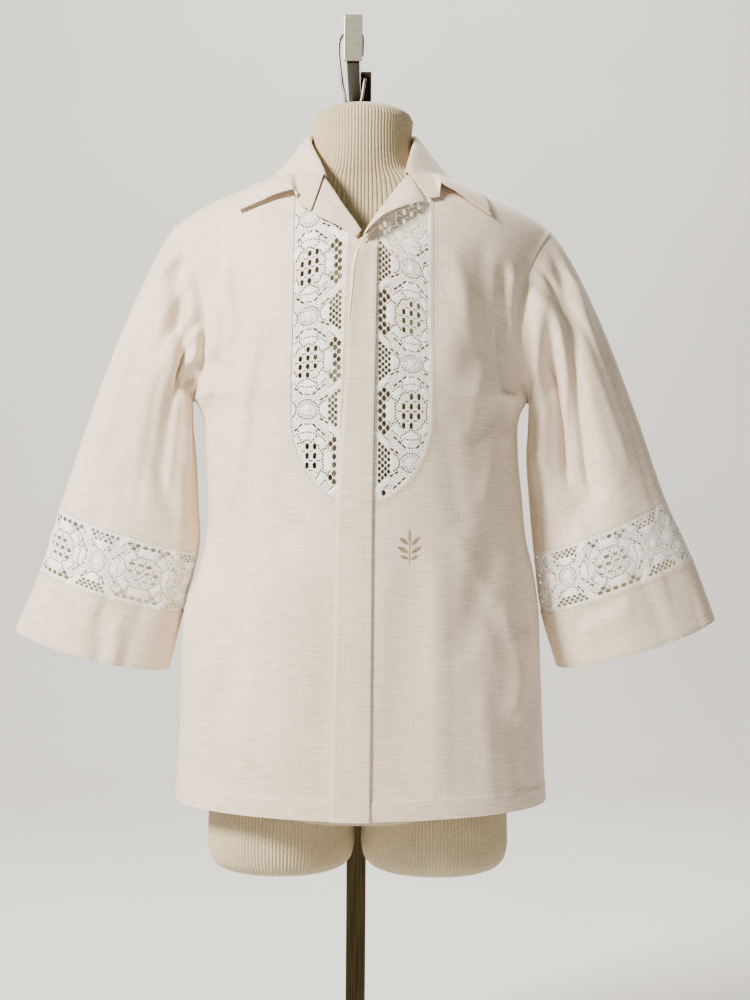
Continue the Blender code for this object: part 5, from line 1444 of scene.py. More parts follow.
def make_bib_lace(side):
    outline = finer(bib_outline(side, -HALF_SEAM), LACE_EDGE_STEP)

    def to_layout(hole):
        return together(BIB_LACE_MIDDLE[side] + hole[:, 1], hole[:, 0])

    def forms(a, b):
        along = (b - BIB_LACE_PHASE[side]) / MM / BIB_STRETCH
        return lace_forms(along, (a - BIB_LACE_MIDDLE[side]) / MM)

    holes = place_lace(0.78, 1.22, BIB_LACE_PHASE[side], BIB_STRETCH, to_layout, outline)
    flat, triangles = cut_flat(outline, holes, LACE_STEP)

    def high(a, b):
        near = off_loop(together(a, b), outline)
        return LACE_HALF - BIB_LACE_DROP + forms(a, b)[0] * ease(near / LACE_EDGE_FADE)

    name = sided("lace_bib", side)
    made = wall(name, SURFACES["front"], 1, flat, triangles, -LACE_HALF - BIB_LACE_DROP, high, LACE, 40)
    finish_lace(made, lambda a, b: forms(a, b)[1], flat, triangles)
    stands_for(sided("bib_lace", side))
    declare(flat, triangles, [sided("shirt_front", side)])


SLEEVE_LACE_PHASE = {RIGHT: 0.090, LEFT: 0.060}
SLEEVE_SURFACES = {side: creased_sleeve(side) for side in (RIGHT, LEFT)}


def make_sleeve_lace(side, half_name):
    """Half of the lace tube above a cuff, laid flat as a strip."""
    turns = run(0, 2 * np.pi, 361)
    ring = bare_sleeve(side, turns, np.full_like(turns, (LACE_TOP + LACE_BOTTOM) / 2))
    reach = reach_along(ring)
    halfway = np.interp(np.pi, turns, reach)
    start, end = (0, halfway) if half_name == "front" else (halfway, reach[-1])
    start, end = start + HALF_SEAM, end - HALF_SEAM
    top, bottom = SEAM, LACE_BAND - HALF_SEAM
    whole = SLEEVE_SURFACES[side]
    phase = SLEEVE_LACE_PHASE[side]

    def strip(distance, down):
        along = LACE_TOP + (LACE_BOTTOM - LACE_TOP) * down / LACE_BAND
        return whole(np.interp(distance, reach, turns), along)

    outline = finer(np.array([(start, top), (end, top), (end, bottom), (start, bottom)]), LACE_EDGE_STEP)

    def to_layout(hole):
        return hole + [0, LACE_BAND / 2]

    def forms(a, b):
        return lace_forms((a - phase) / MM, (b - LACE_BAND / 2) / MM)

    holes = place_lace(start, end, phase, 1.0, to_layout, outline)
    flat, triangles = cut_flat(outline, holes, LACE_STEP)

    def high(a, b):
        near = np.minimum.reduce([a - start, end - a, b - top, bottom - b])
        return LACE_HALF + forms(a, b)[0] * ease(near / LACE_EDGE_FADE)

    name = f"lace_sleeve_{SIDE_NAMES[side]}_{half_name}"
    made = wall(name, strip, side, flat, triangles, -LACE_HALF, high, LACE, 40)
    finish_lace(made, lambda a, b: forms(a, b)[1], flat, triangles)
    stands_for(f"sleeve_lace_{SIDE_NAMES[side]}_{half_name}")
    declare(flat, triangles, [sided("shirt_sleeve", side)])


# The sleeves and the cuffs
ARMHOLE_GAP = 0.0002
STEEPEST_KINK = math.radians(125)
START_STEP = 0.02
SLEEVE_TURNS = 160
SLEEVE_ROWS = 96
# A sleeve is shorter on its under side: its mean length as a share of its over line
SLEEVE_SLANT = 0.86
CUFF_HALF = 0.0009
CUFF_ROLL = 0.0003
CUFF_GAP = 0.001
CUFF_ROLL_WIDTH, CUFF_ROLL_FADE = 0.010, 0.006
SLEEVE_END_GAP = 0.0005
CUFF_ROWS = 22


def sleeve_starts(side, turns):
    """How far along a sleeve its cloth starts, so that it clears the armhole's edge."""
    whole = folded_sleeve(side, (SLEEVE_FOLDS[side], SLEEVE_FOLD_FADE))
    out = normals(whole, side, turns, np.zeros_like(turns))
    starts = []
    for i, turn in enumerate(turns):
        panel, facing = ("front", 1) if turn <= np.pi else ("back", -1)
        climb = 1 - (turn if turn <= np.pi else 2 * np.pi - turn) / np.pi
        height = np.clip(UNDERARM_H + climb * (TOP_H - UNDERARM_H), UNDERARM_H + 0.001, TOP_H - 0.001)
        across = side * (outer_edge(panel, side, height)[0] - 0.001)
        panel_out = normals(body(panel), facing, np.array([across]), np.array([height]), PROBE)[0]
        kink = min(math.acos(np.clip(panel_out @ out[i], -1, 1)), STEEPEST_KINK)
        gap = ARMHOLE_GAP + 2 * CLOTH_HALF * math.tan(kink / 2)
        first, last = (bare_sleeve(side, turn, np.array(along)) for along in (0.0, START_STEP))
        starts.append(gap * START_STEP / np.linalg.norm(last - first))
    return np.array(starts)


def ring_length(side, along):
    """How long a sleeve's ring is."""
    turns = run(0, 2 * np.pi, 181)
    return length_of(bare_sleeve(side, turns, np.full_like(turns, along)))


def length_between(side, start, end):
    """How long a stretch of a sleeve's over line is."""
    alongs = run(start, end, 61)
    return length_of(bare_sleeve(side, np.zeros_like(alongs), alongs))


def make_sleeve(side):
    turns = full_turn(SLEEVE_TURNS)
    starts = sleeve_starts(side, turns)
    end = LACE_TOP - SLEEVE_END_GAP
    shares = ease(run(0, 1, SLEEVE_ROWS)) * 0.25 + run(0, 1, SLEEVE_ROWS) * 0.75
    alongs = starts[:, None] + (end - starts)[:, None] * shares
    name = sided("shirt_sleeve", side)
    length = length_between(side, 0, 1)
    made = tube(
        name, SLEEVE_SURFACES[side], side, turns, alongs, -CLOTH_HALF, CLOTH_HALF, CLOTH,
        (ring_length(side, 0.7) / (2 * np.pi), length),
    )
    stands_for(sided("sleeve", side))
    area = sum(ring_length(side, s) for s in (0.1, 0.3, 0.5, 0.7, 0.9)) / 5 * length * SLEEVE_SLANT
    width = max(ring_length(side, 0.0), ring_length(side, 1.0))
    sided("shirt_front", side)


def make_cuff(side):
    turns = full_turn(SLEEVE_TURNS)
    shares = run(0, 1, CUFF_ROWS)
    down = LACE_BOTTOM + CUFF_GAP + (CUFF_BOTTOM - LACE_BOTTOM - CUFF_GAP) * shares
    alongs = np.tile(down, (SLEEVE_TURNS, 1))
    name = sided("shirt_cuff", side)
    around = ring_length(side, 1.4)
    deep = length_between(side, LACE_BOTTOM, CUFF_BOTTOM)

    def high(_, b):
        return CUFF_HALF + CUFF_ROLL * ease((LACE_BOTTOM + CUFF_ROLL_WIDTH - b) / CUFF_ROLL_FADE)

    made = tube(
        name, SLEEVE_SURFACES[side], side, turns, alongs, -CUFF_HALF, high, CLOTH,
        (around / (2 * np.pi), deep / (CUFF_BOTTOM - LACE_BOTTOM)),
    )
    stands_for(sided("cuff", side))
    sided("lace_sleeve", side) + "_front"


# The placket, whose free left edge lies over the wearer's right front.
PLACKET_WALL = 0.0016
PLACKET_REST = WALL / 2 + REST_GAP + 0.0003
PLACKET_LIFT = 0.0034
# Where the free edge's curl starts, the height that it rises over and its width, and how it falls again
CURL_START, CURL_RISE, CURL_WIDE = 0.965, 0.09, 0.021
CURL_FALL, FALL_START, FALL_OVER = 0.7, 1.070, 0.028
# The rounded long edges, and the groove that a line of stitches draws in
PLACKET_THINNER = 0.0010
FREE_PUFF, FREE_PUFF_WIDE = 0.0009, 0.0018
SEAM_PUFF, SEAM_PUFF_WIDE = 0.0004, 0.002
GROOVE, GROOVE_WIDE = 0.0003, 0.0012
FREE_STITCH, GROOVE_STITCH, SEAM_STITCH = 0.0055, 0.0070, 0.0014
PLACKET_SHARES = (0, 0.008, 0.03, 0.06, 0.12, 0.25, 0.40, 0.55, 0.70, 0.80, 0.86, 0.92, 0.97, 1)


def placket_low(b):
    return PLACKET_REST + HEM_TURN * ease((HEM_Z + HEM_HEIGHT - b) / 0.02)


def placket_edges(heights):
    return read(PLACKET, "free_edge seam", heights)


def placket_lift(a, b):
    """The free edge curls up and away towards the break of the lapels."""
    from_edge = a - placket_edges(b)[0]
    rise, fall = ease((b - CURL_START) / CURL_RISE), 1 - CURL_FALL * ease((b - FALL_START) / FALL_OVER)
    return PLACKET_LIFT * rise * fall * ease(1 - from_edge / CURL_WIDE)


def placket_under(a, b):
    return placket_low(b) + placket_lift(a, b)


def placket_over(a, b):
    left, seam = placket_edges(b)
    from_edge, from_seam = a - left, seam - a
    puff = FREE_PUFF * ease(from_edge / FREE_PUFF_WIDE) + SEAM_PUFF * ease(from_seam / SEAM_PUFF_WIDE)
    groove = GROOVE * np.exp(-(((from_seam - GROOVE_STITCH) / GROOVE_WIDE) ** 2))
    return placket_under(a, b) + PLACKET_WALL - PLACKET_THINNER + puff - groove


def make_placket():
    heights = run(PLACKET["height"][0], PLACKET["height"][-1], 110)
    left, seam = placket_edges(heights)
    across = left[:, None] + (seam - left)[:, None] * np.array(PLACKET_SHARES)
    flat, triangles = grid_flat(across, np.repeat(heights[:, None], across.shape[1], axis=1))
    triangles = triangles[:, ::-1]
    made = wall("shirt_placket", SURFACES["front"], 1, flat, triangles, placket_under, placket_over, CLOTH)
    stands_for("placket")
    declare(flat, triangles, ["shirt_front_right", "shirt_front_left"])


# The lapels, from the break up to the collar: the roll line, and the outer edge on the front.
LAPELS = {
    RIGHT: table(
        "height edge_across edge_height",
        (1.114, 0.006, 1.106),
        (1.13, 0.021, 1.118),
        (1.146, 0.037, 1.129),
        (1.166, 0.05, 1.138),
        (1.183, 0.0562, 1.1446),
    ),
    LEFT: table(
        "height edge_across edge_height",
        (1.1135, 0.002, 1.1035),
        (1.125, 0.012, 1.114),
        (1.146, 0.03, 1.13),
        (1.166, 0.053, 1.147),
        (1.1905, 0.0755, 1.1625),
    ),
}
LAPEL_WALL = 0.0015
LAPEL_REST = FRONT_OUTER + 0.0003
# How far from its roll a lapel lies flat, comes up to its height and is fully bent
ROLL_FLAT, ROLL_RISE, ROLL_BEND = 0.0010, 0.0026, 0.0032
ROLL_INSET = 0.0002
ROLL_COLUMNS = (0, 0.00025, 0.0006, 0.0011, 0.0017, 0.0026, 0.0036)
LAPEL_SHARES = (0.25, 0.40, 0.55, 0.70, 0.82, 0.91, 0.97, 1)
LAPEL_THINNER = 0.0004
LAPEL_CURL = 0.0006
# How far across the placket reaches under the left lapel, and how wide its step is there
PLACKET_REACH, PLACKET_STEP = 0.034, 0.012
LAPEL_LIFT = {RIGHT: 0.0032, LEFT: 0.0120}


def make_lapel(side):
    """A turned-back lapel that rolls over the front's edge."""
    shape = LAPELS[side]
    spots = run(0, len(shape["height"]) - 1, 44)
    keys = np.arange(len(shape["height"]), dtype=float)
    heights, edge_across, edge_height = read(shape, "height edge_across edge_height", spots, keys)
    roll = inner_edge(side, heights) + ROLL_INSET
    width = np.hypot(edge_across - roll, edge_height - heights)
    near = np.array(ROLL_COLUMNS) / width[:, None]
    shares = np.concatenate([near, np.tile(LAPEL_SHARES, (len(width), 1))], axis=1)
    shares = np.sort(np.clip(shares, 0, 1), axis=1)
    for k in range(1, shares.shape[1]):
        shares[:, k] = np.maximum(shares[:, k], shares[:, k - 1] + 0.004)
    shares = shares / shares[:, -1:]
    across = roll[:, None] + (edge_across - roll)[:, None] * shares
    height = heights[:, None] + (edge_height - heights)[:, None] * shares
    flat, triangles = grid_flat(side * across, height)
    if side == LEFT:
        triangles = triangles[:, ::-1]
    over_placket = PLACKET_REST + PLACKET_WALL + REST_GAP - LAPEL_REST if side == LEFT else 0.0
    rises = LAPEL_REST + over_placket * ease((PLACKET_REACH - across) / PLACKET_STEP)
    from_roll = shares * width[:, None]
    off_roll = np.clip((from_roll - ROLL_FLAT) / (ROLL_RISE - ROLL_FLAT), 0, 1)
    bend = np.sqrt(np.clip(1 - (1 - np.clip(from_roll / ROLL_BEND, 0, 1)) ** 2, 0, 1))
    wrap = (-WALL / 2 + (rises + WALL / 2) * off_roll).ravel()
    bowed = np.sin(np.pi * np.clip(spots / spots[-1], 0, 1)) ** 0.7
    curl = LAPEL_CURL + LAPEL_LIFT[side] * bowed[:, None]
    curl = curl * ease((shares - 0.12) / 0.88)
    top = (-ROLL_INSET + (rises + LAPEL_WALL - LAPEL_THINNER + ROLL_INSET) * bend + curl).ravel()
    made = wall(
        sided("shirt_lapel", side), SURFACES["front"], 1, flat, triangles,
        lambda *_: wrap + (curl * off_roll).ravel(), lambda *_: np.maximum(top, wrap + LAPEL_THINNER), CLOTH,
    )
    stands_for(sided("lapel", side))
    spread = place_at(flat, (wrap + top) / 2)
    one, two = (spread[triangles[:, k]] - spread[triangles[:, 0]] for k in (1, 2))
    true_area = np.linalg.norm(np.cross(one, two), axis=1).sum() / 2
    true_flat = flat * math.sqrt(true_area / area_of(flat, triangles))
    declare(true_flat, triangles, [sided("shirt_front", side)])


def place_at(flat, lift):
    """Points of the front's layout, moved out from it."""
    out = normals(SURFACES["front"], 1, *flat.T, PROBE)
    return SURFACES["front"](*flat.T) + out * lift[:, None]


def wire(line, across, up, radius, sides):
    """A round wire along a line, as points and faces: its way round at each point goes from across to up."""
    turns = full_turn(sides)[None, :, None]
    ring = across[:, None] * np.cos(turns) + up[:, None] * np.sin(turns)
    points = (line[:, None] + ring * radius).reshape(-1, 3)
    heads = [i * sides + k for i in range(len(line) - 1) for k in range(sides)]
    afters = [i * sides + (k + 1) % sides for i in range(len(line) - 1) for k in range(sides)]
    faces = [(head, after, after + sides, head + sides) for head, after in zip(heads, afters)]
    faces.append(tuple(range(sides - 1, -1, -1)))
    faces.append(tuple(range((len(line) - 1) * sides, len(line) * sides)))
    return points, faces


# The under layer of the left front's edge, which shows as a pale roll below the lapel and down the placket.
EDGE_ROLL_OUT, EDGE_ROLL_WAVE, EDGE_ROLL_DROP = 0.0017, 0.0010, 0.0026
EDGE_ROLL_TOP, EDGE_ROLL_LOW = 1.097, 0.955
EDGE_ROLL_INSET = 0.0026
EDGE_ROLL_WIDE = 0.00075
EDGE_ROLL_SIDES = 10


def make_edge_roll():
    heights = run(EDGE_ROLL_TOP, EDGE_ROLL_LOW, 60)
    inset = EDGE_ROLL_INSET * (0.15 + 0.85 * ease((heights - EDGE_ROLL_LOW) / 0.12))
    across = placket_edges(heights)[0] + inset
    lower = together(across, heights, placket_over(across, heights))
    shape = LAPELS[LEFT]
    keys = np.arange(len(shape["height"]), dtype=float)
    spots = run(keys[-1] - 0.1, 0.1, 70)
    edge = together(*read(shape, "edge_across edge_height", spots, keys))
    away = np.gradient(edge, axis=0)[:, ::-1] * [-1, 1]
    away /= np.linalg.norm(away, axis=1, keepdims=True)
    wave = EDGE_ROLL_OUT + EDGE_ROLL_WAVE * np.sin(2.2 * np.pi * spots / keys[-1])
    lift = LAPEL_REST + LAPEL_LIFT[LEFT] * np.sin(np.pi * spots / keys[-1]) ** 0.7 - EDGE_ROLL_DROP
    upper = np.concatenate([edge + away * wave[:, None], lift[:, None]], axis=1)
    path = np.concatenate([upper, lower])
    middle = together(*[np.convolve(np.pad(column, 3, "edge"), np.ones(7) / 7, "valid") for column in path.T])
    out = normals(SURFACES["front"], 1, middle[:, 0], middle[:, 1], PROBE)
    line = SURFACES["front"](middle[:, 0], middle[:, 1]) + out * middle[:, 2:]
    ahead = unit(np.gradient(line, axis=0))
    aside = unit(np.cross(ahead, out))
    rise = np.cross(aside, ahead)
    share = run(0, 1, len(line))
    wide = EDGE_ROLL_WIDE * (0.25 + 0.75 * ease(share / 0.06) * ease((1 - share) / 0.25))
    return wire(line, aside, rise, wide[:, None, None], EDGE_ROLL_SIDES)


# The collar from its front end (0) to the middle of the back (1): the neck seam, the fold at the
# top and the outer edge, which then rests on the shirt.
COLLAR = table(
    "share seam_x seam_y seam_z fold_x fold_y fold_z edge_x edge_y edge_z",
    (0, 0.0465, -0.0775, 1.18, 0.047, -0.0785, 1.185, 0.144, -0.064, 1.144),
    (0.2, 0.058, -0.054, 1.195, 0.055, -0.056, 1.211, 0.133, -0.042, 1.165),
    (0.5, 0.0712, 0, 1.2095, 0.0632, -0.005, 1.2505, 0.1105, 0, 1.199),
    (0.75, 0.053, 0.05, 1.2065, 0.048, 0.043, 1.258, 0.083, 0.072, 1.192),
    (1, 0, 0.0735, 1.201, 0, 0.063, 1.261, 0, 0.093, 1.19),
)
COLLAR_WALL = 0.0015
COLLAR_REST = WALL / 2 + 0.0011 + COLLAR_WALL / 2
COLLAR_END_REST = 0.0018
COLLAR_SHIFT = {RIGHT: (0.0045, 0.0, 0.0020), LEFT: (0.0045, 0.0040, 0.0070)}

# Where the collar's front end lies on the front: down the gorge, round the notch, out to the point.
COLLAR_ENDS = {
    RIGHT: table(
        "share across height lift",
        (0, 0.0405, 1.186, 0),
        (0.12, 0.0492, 1.169, 0),
        (0.28, 0.058, 1.147, 0),
        (0.41, 0.072, 1.157, 0),
        (0.51, 0.0772, 1.1715, 0),
        (1, 0.1461, 1.1774, 0.003),
    ),
    LEFT: table(
        "share across height lift",
        (0, 0.0536, 1.1945, 0),
        (0.12, 0.063, 1.181, 0),
        (0.28, 0.0775, 1.1655, 0),
        (0.41, 0.0913, 1.1723, 0),
        (0.51, 0.091, 1.1835, 0),
        (1, 0.1543, 1.1766, 0.003),
    ),
}
COLLAR_END_FADE = 0.15
COLLAR_ROWS = np.unique(
    np.concatenate([run(0.03, 0.28, 8), run(0.28, 0.41, 5), run(0.41, 0.51, 5), run(0.51, 1, 14)])
)
STAND_ROWS = run(0, 1, 8)
COLLAR_SPOTS = np.concatenate([run(0, 0.16, 12), run(0.16, 1, 36)[1:]])
COLLAR_HALF = 0.0007
COLLAR_LIFT = 0.0070
# The rows that the fall's lift starts at, rises over and fades over, and the places round that have it
LIFT_START, LIFT_RISE, LIFT_FADE, LIFT_PLACES = 0.42, 0.10, 0.55, 0.24
COLLAR_LAYOUT = (0.006, 0.004)
NEAR_STEPS, NEAR_LIMIT = 8, 0.01


def closest_on(panel, points):
    """Where on a panel's surface each point is nearest: across and height."""
    surface = SURFACES[panel]
    across, height = np.meshgrid(run(-0.24, 0.24, 49), run(1.04, TOP_H, 40))
    across, height = across.ravel(), height.ravel()
    spread = surface(across, height)
    nearest = np.linalg.norm(points[:, None] - spread[None], axis=-1).argmin(axis=1)
    a, b = across[nearest], height[nearest]
    for _ in range(NEAR_STEPS):
        away = points - surface(a, b)
        run_a = (surface(a + PROBE, b) - surface(a - PROBE, b)) / (2 * PROBE)
        run_b = (surface(a, b + PROBE) - surface(a, b - PROBE)) / (2 * PROBE)
        aa, bb, ab = (run_a * run_a).sum(-1), (run_b * run_b).sum(-1), (run_a * run_b).sum(-1)
        pa, pb = (away * run_a).sum(-1), (away * run_b).sum(-1)
        spare = np.maximum(aa * bb - ab * ab, 1e-9)
        a = a + np.clip((pa * bb - pb * ab) / spare, -NEAR_LIMIT, NEAR_LIMIT)
        b = np.clip(b + np.clip((pb * aa - pa * ab) / spare, -NEAR_LIMIT, NEAR_LIMIT), 1.0, TOP_H)
    return a, b


def clear_of_shirt(points, gap, way=1):
    """The points, moved out of the shirt (way 1) or into it (-1) where they lie nearer than the gap."""
    for panel, facing in (("front", 1), ("back", -1)):
        a, b = closest_on(panel, points)
        surface = SURFACES[panel]
        out = normals(surface, facing * way, a, b, PROBE)
        height = ((points - surface(a, b)) * out).sum(-1)
        mine = points[:, 1] < 0.002 if panel == "front" else points[:, 1] > -0.002
        short = np.where(mine & (height < gap), gap - height, 0)
        points = points + out * short[:, None]
    return points


def collar_end(side):
    """The collar's front end, row by row."""
    end = COLLAR_ENDS[side]
    columns = (end[name] for name in ("across", "height", "lift"))
    across, height, lift = (np.interp(COLLAR_ROWS, end["share"], column) for column in columns)
    front = SURFACES["front"]
    out = normals(front, 1, side * across, height, PROBE)
    return front(side * across, height) + out * (COLLAR_REST + COLLAR_END_REST + lift)[:, None]


def collar_columns(half):
    """The collar's middle surface: a column of points for each place round the neck."""
    ends = {side: collar_end(side) for side in (RIGHT, LEFT)}
    rows = COLLAR_ROWS[:, None]
    shares = np.concatenate([half, (2 - half[:-1])[::-1]])
    columns = []
    for share in shares:
        place = min(share, 2 - share)
        side = RIGHT if share <= 1 else LEFT
        seam, fold, edge = (
            np.array([smooth(COLLAR["share"], COLLAR[piece + axis], place) for axis in ("_x", "_y", "_z")])
            for piece in ("seam", "fold", "edge")
        )
        shift = np.array(COLLAR_SHIFT[side]) * ease(1 - place / 0.4)
        seam, fold, edge = (point * [side, 1, 1] for point in (seam, fold, edge))
        seam, fold = seam + shift, fold + shift
        outward = unit((edge - fold) * [1, 1, 0])
        tight = min(0.006, 0.45 * np.linalg.norm(fold - seam))
        up = bezier((seam, seam + 0.4 * (fold - seam), fold - outward * tight, fold), STAND_ROWS[:, None])
        reach = np.linalg.norm(edge - fold)
        away = fold + outward * 0.10 * reach
        landing = edge + 0.45 * (fold - edge) * [1, 1, 0.45]
        down = bezier((fold, away, landing, edge), rows)
        down = down + (ends[side] - down) * ease(1 - place / COLLAR_END_FADE) * ease(rows / 0.12)
        columns.append(np.concatenate([up, down]))
    return np.array(columns)


def sheet_out(middle):
    """The way out of a sheet of points."""
    return unit(np.cross(np.gradient(middle, axis=0), np.gradient(middle, axis=1)))


def make_collar():
    middle = collar_columns(COLLAR_SPOTS)
    fall = middle[:, len(STAND_ROWS):]
    places = np.concatenate([COLLAR_SPOTS, COLLAR_SPOTS[:-1][::-1]])
    rest = np.repeat(COLLAR_REST + COLLAR_END_REST * ease(1 - places / 0.3), fall.shape[1])
    fall[:] = clear_of_shirt(fall.reshape(-1, 3), rest).reshape(fall.shape)
    lift = COLLAR_LIFT * ease((COLLAR_ROWS - LIFT_START) / LIFT_RISE) * ease((1 - COLLAR_ROWS) / LIFT_FADE)
    lift = lift * ease((LIFT_PLACES - places) / LIFT_PLACES)[:, None]
    fall += sheet_out(middle)[:, len(STAND_ROWS):] * lift[..., None]
    out = sheet_out(middle)
    columns, rows = middle.shape[:2]
    layout = (np.arange(count) * pitch for count, pitch in zip((columns, rows), COLLAR_LAYOUT))
    layout = np.meshgrid(*layout, indexing="ij")
    flat, triangles = grid_flat(*layout)
    points = np.concatenate([(middle + out * half).reshape(-1, 3) for half in (COLLAR_HALF, -COLLAR_HALF)])
    count = columns * rows
    faces = triangles.tolist() + (triangles[:, ::-1] + count).tolist()
    faces += [(q, p, p + count, q + count) for p, q in rim_of(triangles)]
    made = add_piece("shirt_collar", points, faces, CLOTH, np.concatenate([flat, flat]))
    stands_for("collar")
    return middle, out


# The form's ribbed cover
FORM = table(
    "height half_width front back",
    (0.435, 0.15, 0.064, 0.069),
    (0.44, 0.166, 0.08, 0.085),
    (0.45, 0.1765, 0.095, 0.1),
    (0.52, 0.178, 0.1, 0.108),
    (0.62, 0.166, 0.098, 0.102),
    (0.72, 0.152, 0.096, 0.094),
    (0.8, 0.149, 0.098, 0.09),
    (0.9, 0.16, 0.106, 0.096),
    (1, 0.172, 0.109, 0.101),
    (1.06, 0.185, 0.101, 0.098),
    (1.1, 0.203, 0.085, 0.088),
    (1.123, 0.21, 0.066, 0.071),
    (1.138, 0.206, 0.056, 0.061),
    (1.15, 0.196, 0.052, 0.058),
    (1.162, 0.178, 0.05, 0.056),
    (1.174, 0.152, 0.0495, 0.055),
    (1.186, 0.122, 0.05, 0.055),
    (1.196, 0.093, 0.051, 0.056),
    (1.203, 0.072, 0.053, 0.057),
    (1.213, 0.0625, 0.055, 0.0575),
    (1.23, 0.059, 0.057, 0.057),
    (1.256, 0.0588, 0.0585, 0.0575),
    (1.27, 0.06, 0.059, 0.0585),
    (1.276, 0.056, 0.0555, 0.055),
    (1.284, 0.038, 0.0375, 0.0375),
    (1.2885, 0.006, 0.006, 0.006),
)
# The points round each of a table's rings, and the rows of the tables' rings and of the cover
RING_POINTS, RIB_POINTS = 96, 6
FORM_ROWS, THIGH_ROWS = (72, 130), (30, 36)
FORM_RIBS = 94
FORM_NECK = 0.0600
THIGH_RIBS = 130
FORM_CLEAR = WALL / 2 + 0.0016
FORM_LOOSE_X, FORM_LOOSE_TOP = 0.052, 1.2065
RIB_DEPTH = 0.0013
THIGH_X, THIGH_Y = 0.0915, 0.004
THIGH = table(
    "height half_width half_depth",
    (0.3732, 0.03, 0.03),
    (0.3745, 0.056, 0.056),
    (0.3775, 0.07, 0.069),
    (0.3842, 0.08, 0.078),
    (0.3972, 0.0855, 0.083),
    (0.4222, 0.0865, 0.085),
    (0.4582, 0.085, 0.084),
    (0.5, 0.082, 0.08),
)


def smooth_ring(values, count):
    """A closed ring of values read at more, evenly spaced places."""
    wrapped = np.concatenate([values, values[:1]])
    return read_at(run(0, len(values), count + 1)[:-1], np.arange(len(wrapped)), wrapped)


def finer_rings(rings, rows_count, turns_count):
    """A stack of rings with more rows and more points to a ring."""
    wider = np.abs(np.diff(np.ptp(rings[..., 0], axis=1)))
    reach = reach_along(rings.mean(axis=1)) + np.concatenate([[0], np.cumsum(wider)]) / 2
    spots = run(0, reach[-1], rows_count)
    rows = np.stack([read_at(spots, reach, rings[:, j]) for j in range(rings.shape[1])], axis=1)
    return np.array([smooth_ring(row, turns_count) for row in rows])


def ribbed(rings, ribs):
    """The rings with fine vertical ribs round them."""
    centre = rings.mean(axis=1, keepdims=True)
    turns = full_turn(rings.shape[1])
    out = unit((rings - centre) * [1, 1, 0])
    size = np.linalg.norm((rings - centre)[..., :2], axis=-1).max(axis=1)
    rib = RIB_DEPTH * (np.abs(np.cos(turns * ribs / 2)) ** 0.7 - 0.6)
    return rings + out * rib[None, :, None] * np.minimum(1, size / 0.04)[:, None, None]


def table_rings(shape, centre, columns, turns_count, rows_count, straight=None):
    """Rings through a table's sections, whose ribs leave the middle as evenly as on a straight ring."""
    keys = np.arange(len(shape["height"]), dtype=float)
    heights = np.interp(run(0, keys[-1], rows_count), keys, shape["height"])
    wide, front, back = read(shape, columns, heights)
    turns = full_turn(turns_count)
    depth = np.where(np.sin(turns) < 0, front[:, None], back[:, None])
    cosine = np.cos(turns)
    even = wide if straight is None else np.minimum(wide, straight)
    x = (even[:, None] * cosine) / (1 - np.abs(cosine) * (1 - even / wide)[:, None])
    y = centre[1] + depth * np.sign(np.sin(turns)) * np.sqrt(np.clip(1 - (x / wide[:, None]) ** 2, 0, 1))
    x = x + centre[0]
    return together(x, y, np.repeat(heights[:, None], turns_count, axis=1))


def make_form():
    """The form's ribbed cover: its trunk and neck, and the two rounded thigh ends."""
    trunk = table_rings(FORM, (0, 0), "half_width front back", RING_POINTS, FORM_ROWS[0], FORM_NECK)
    x, _, z = np.moveaxis(trunk, -1, 0)
    worn = (np.abs(x) > FORM_LOOSE_X) & (z > UNDERARM_H) & (z < FORM_LOOSE_TOP)
    trunk[worn] = clear_of_shirt(trunk[worn], FORM_CLEAR + RIB_DEPTH, way=-1)
    stacks = [ribbed(finer_rings(trunk, FORM_ROWS[1], FORM_RIBS * RIB_POINTS), FORM_RIBS)]
    for side in (RIGHT, LEFT):
        centre = (side * THIGH_X, THIGH_Y)
        thigh = table_rings(THIGH, centre, "half_width half_depth half_depth", RING_POINTS, THIGH_ROWS[0])
        stacks.append(ribbed(finer_rings(thigh, THIGH_ROWS[1], THIGH_RIBS * RIB_POINTS), THIGH_RIBS))
    points, faces, uv, base = [], [], [], 0
    for rings in stacks:
        rows, count = rings.shape[:2]
        ring = np.arange(count)
        after = (ring + 1) % count
        faces.append(tuple((base + ring[::-1]).tolist()))
        for k in range(rows - 1):
            low, high = base + k * count, base + (k + 1) * count
            faces += together(low + ring, low + after, high + after, high + ring).tolist()
        faces.append(tuple((base + (rows - 1) * count + ring).tolist()))
        points.append(rings.reshape(-1, 3))
        uv.append(together(np.tile(ring * 0.004 / RIB_POINTS, rows), rings[..., 2].ravel()))
        base += rows * count
    made = add_piece("form_cover", np.concatenate(points), faces, JERSEY, np.concatenate(uv), sharp=60)
    stands_for("form")


# The hook's wire
HOOK_WIRE = 0.0036
HOOK_ROUTE = table(
    "x y z",
    (0.0024, 0, 1.3231),
    (0.001, 0, 1.313),
    (-0.001, 0, 1.3),
    (-0.0026, 0, 1.294),
    (-0.006, 0, 1.2912),
    (-0.0115, 0, 1.2908),
    (-0.017, 0, 1.2914),
    (-0.0205, 0, 1.295),
    (-0.0228, 0, 1.306),
    (-0.0252, 0, 1.318),
    (-0.0281, 0, 1.338),
    (-0.0298, 0, 1.357),
    (-0.029, 0, 1.367),
    (-0.0262, 0, 1.3735),
    (-0.0205, 0, 1.3768),
    (-0.0117, 0, 1.3773),
    (-0.005, 0, 1.3771),
    (-0.0012, 0, 1.3742),
    (-0.0006, 0, 1.3672),
    (-0.0008, 0, 1.358),
    (-0.001, 0, 1.35),
)

HOOK_SIDES = 12


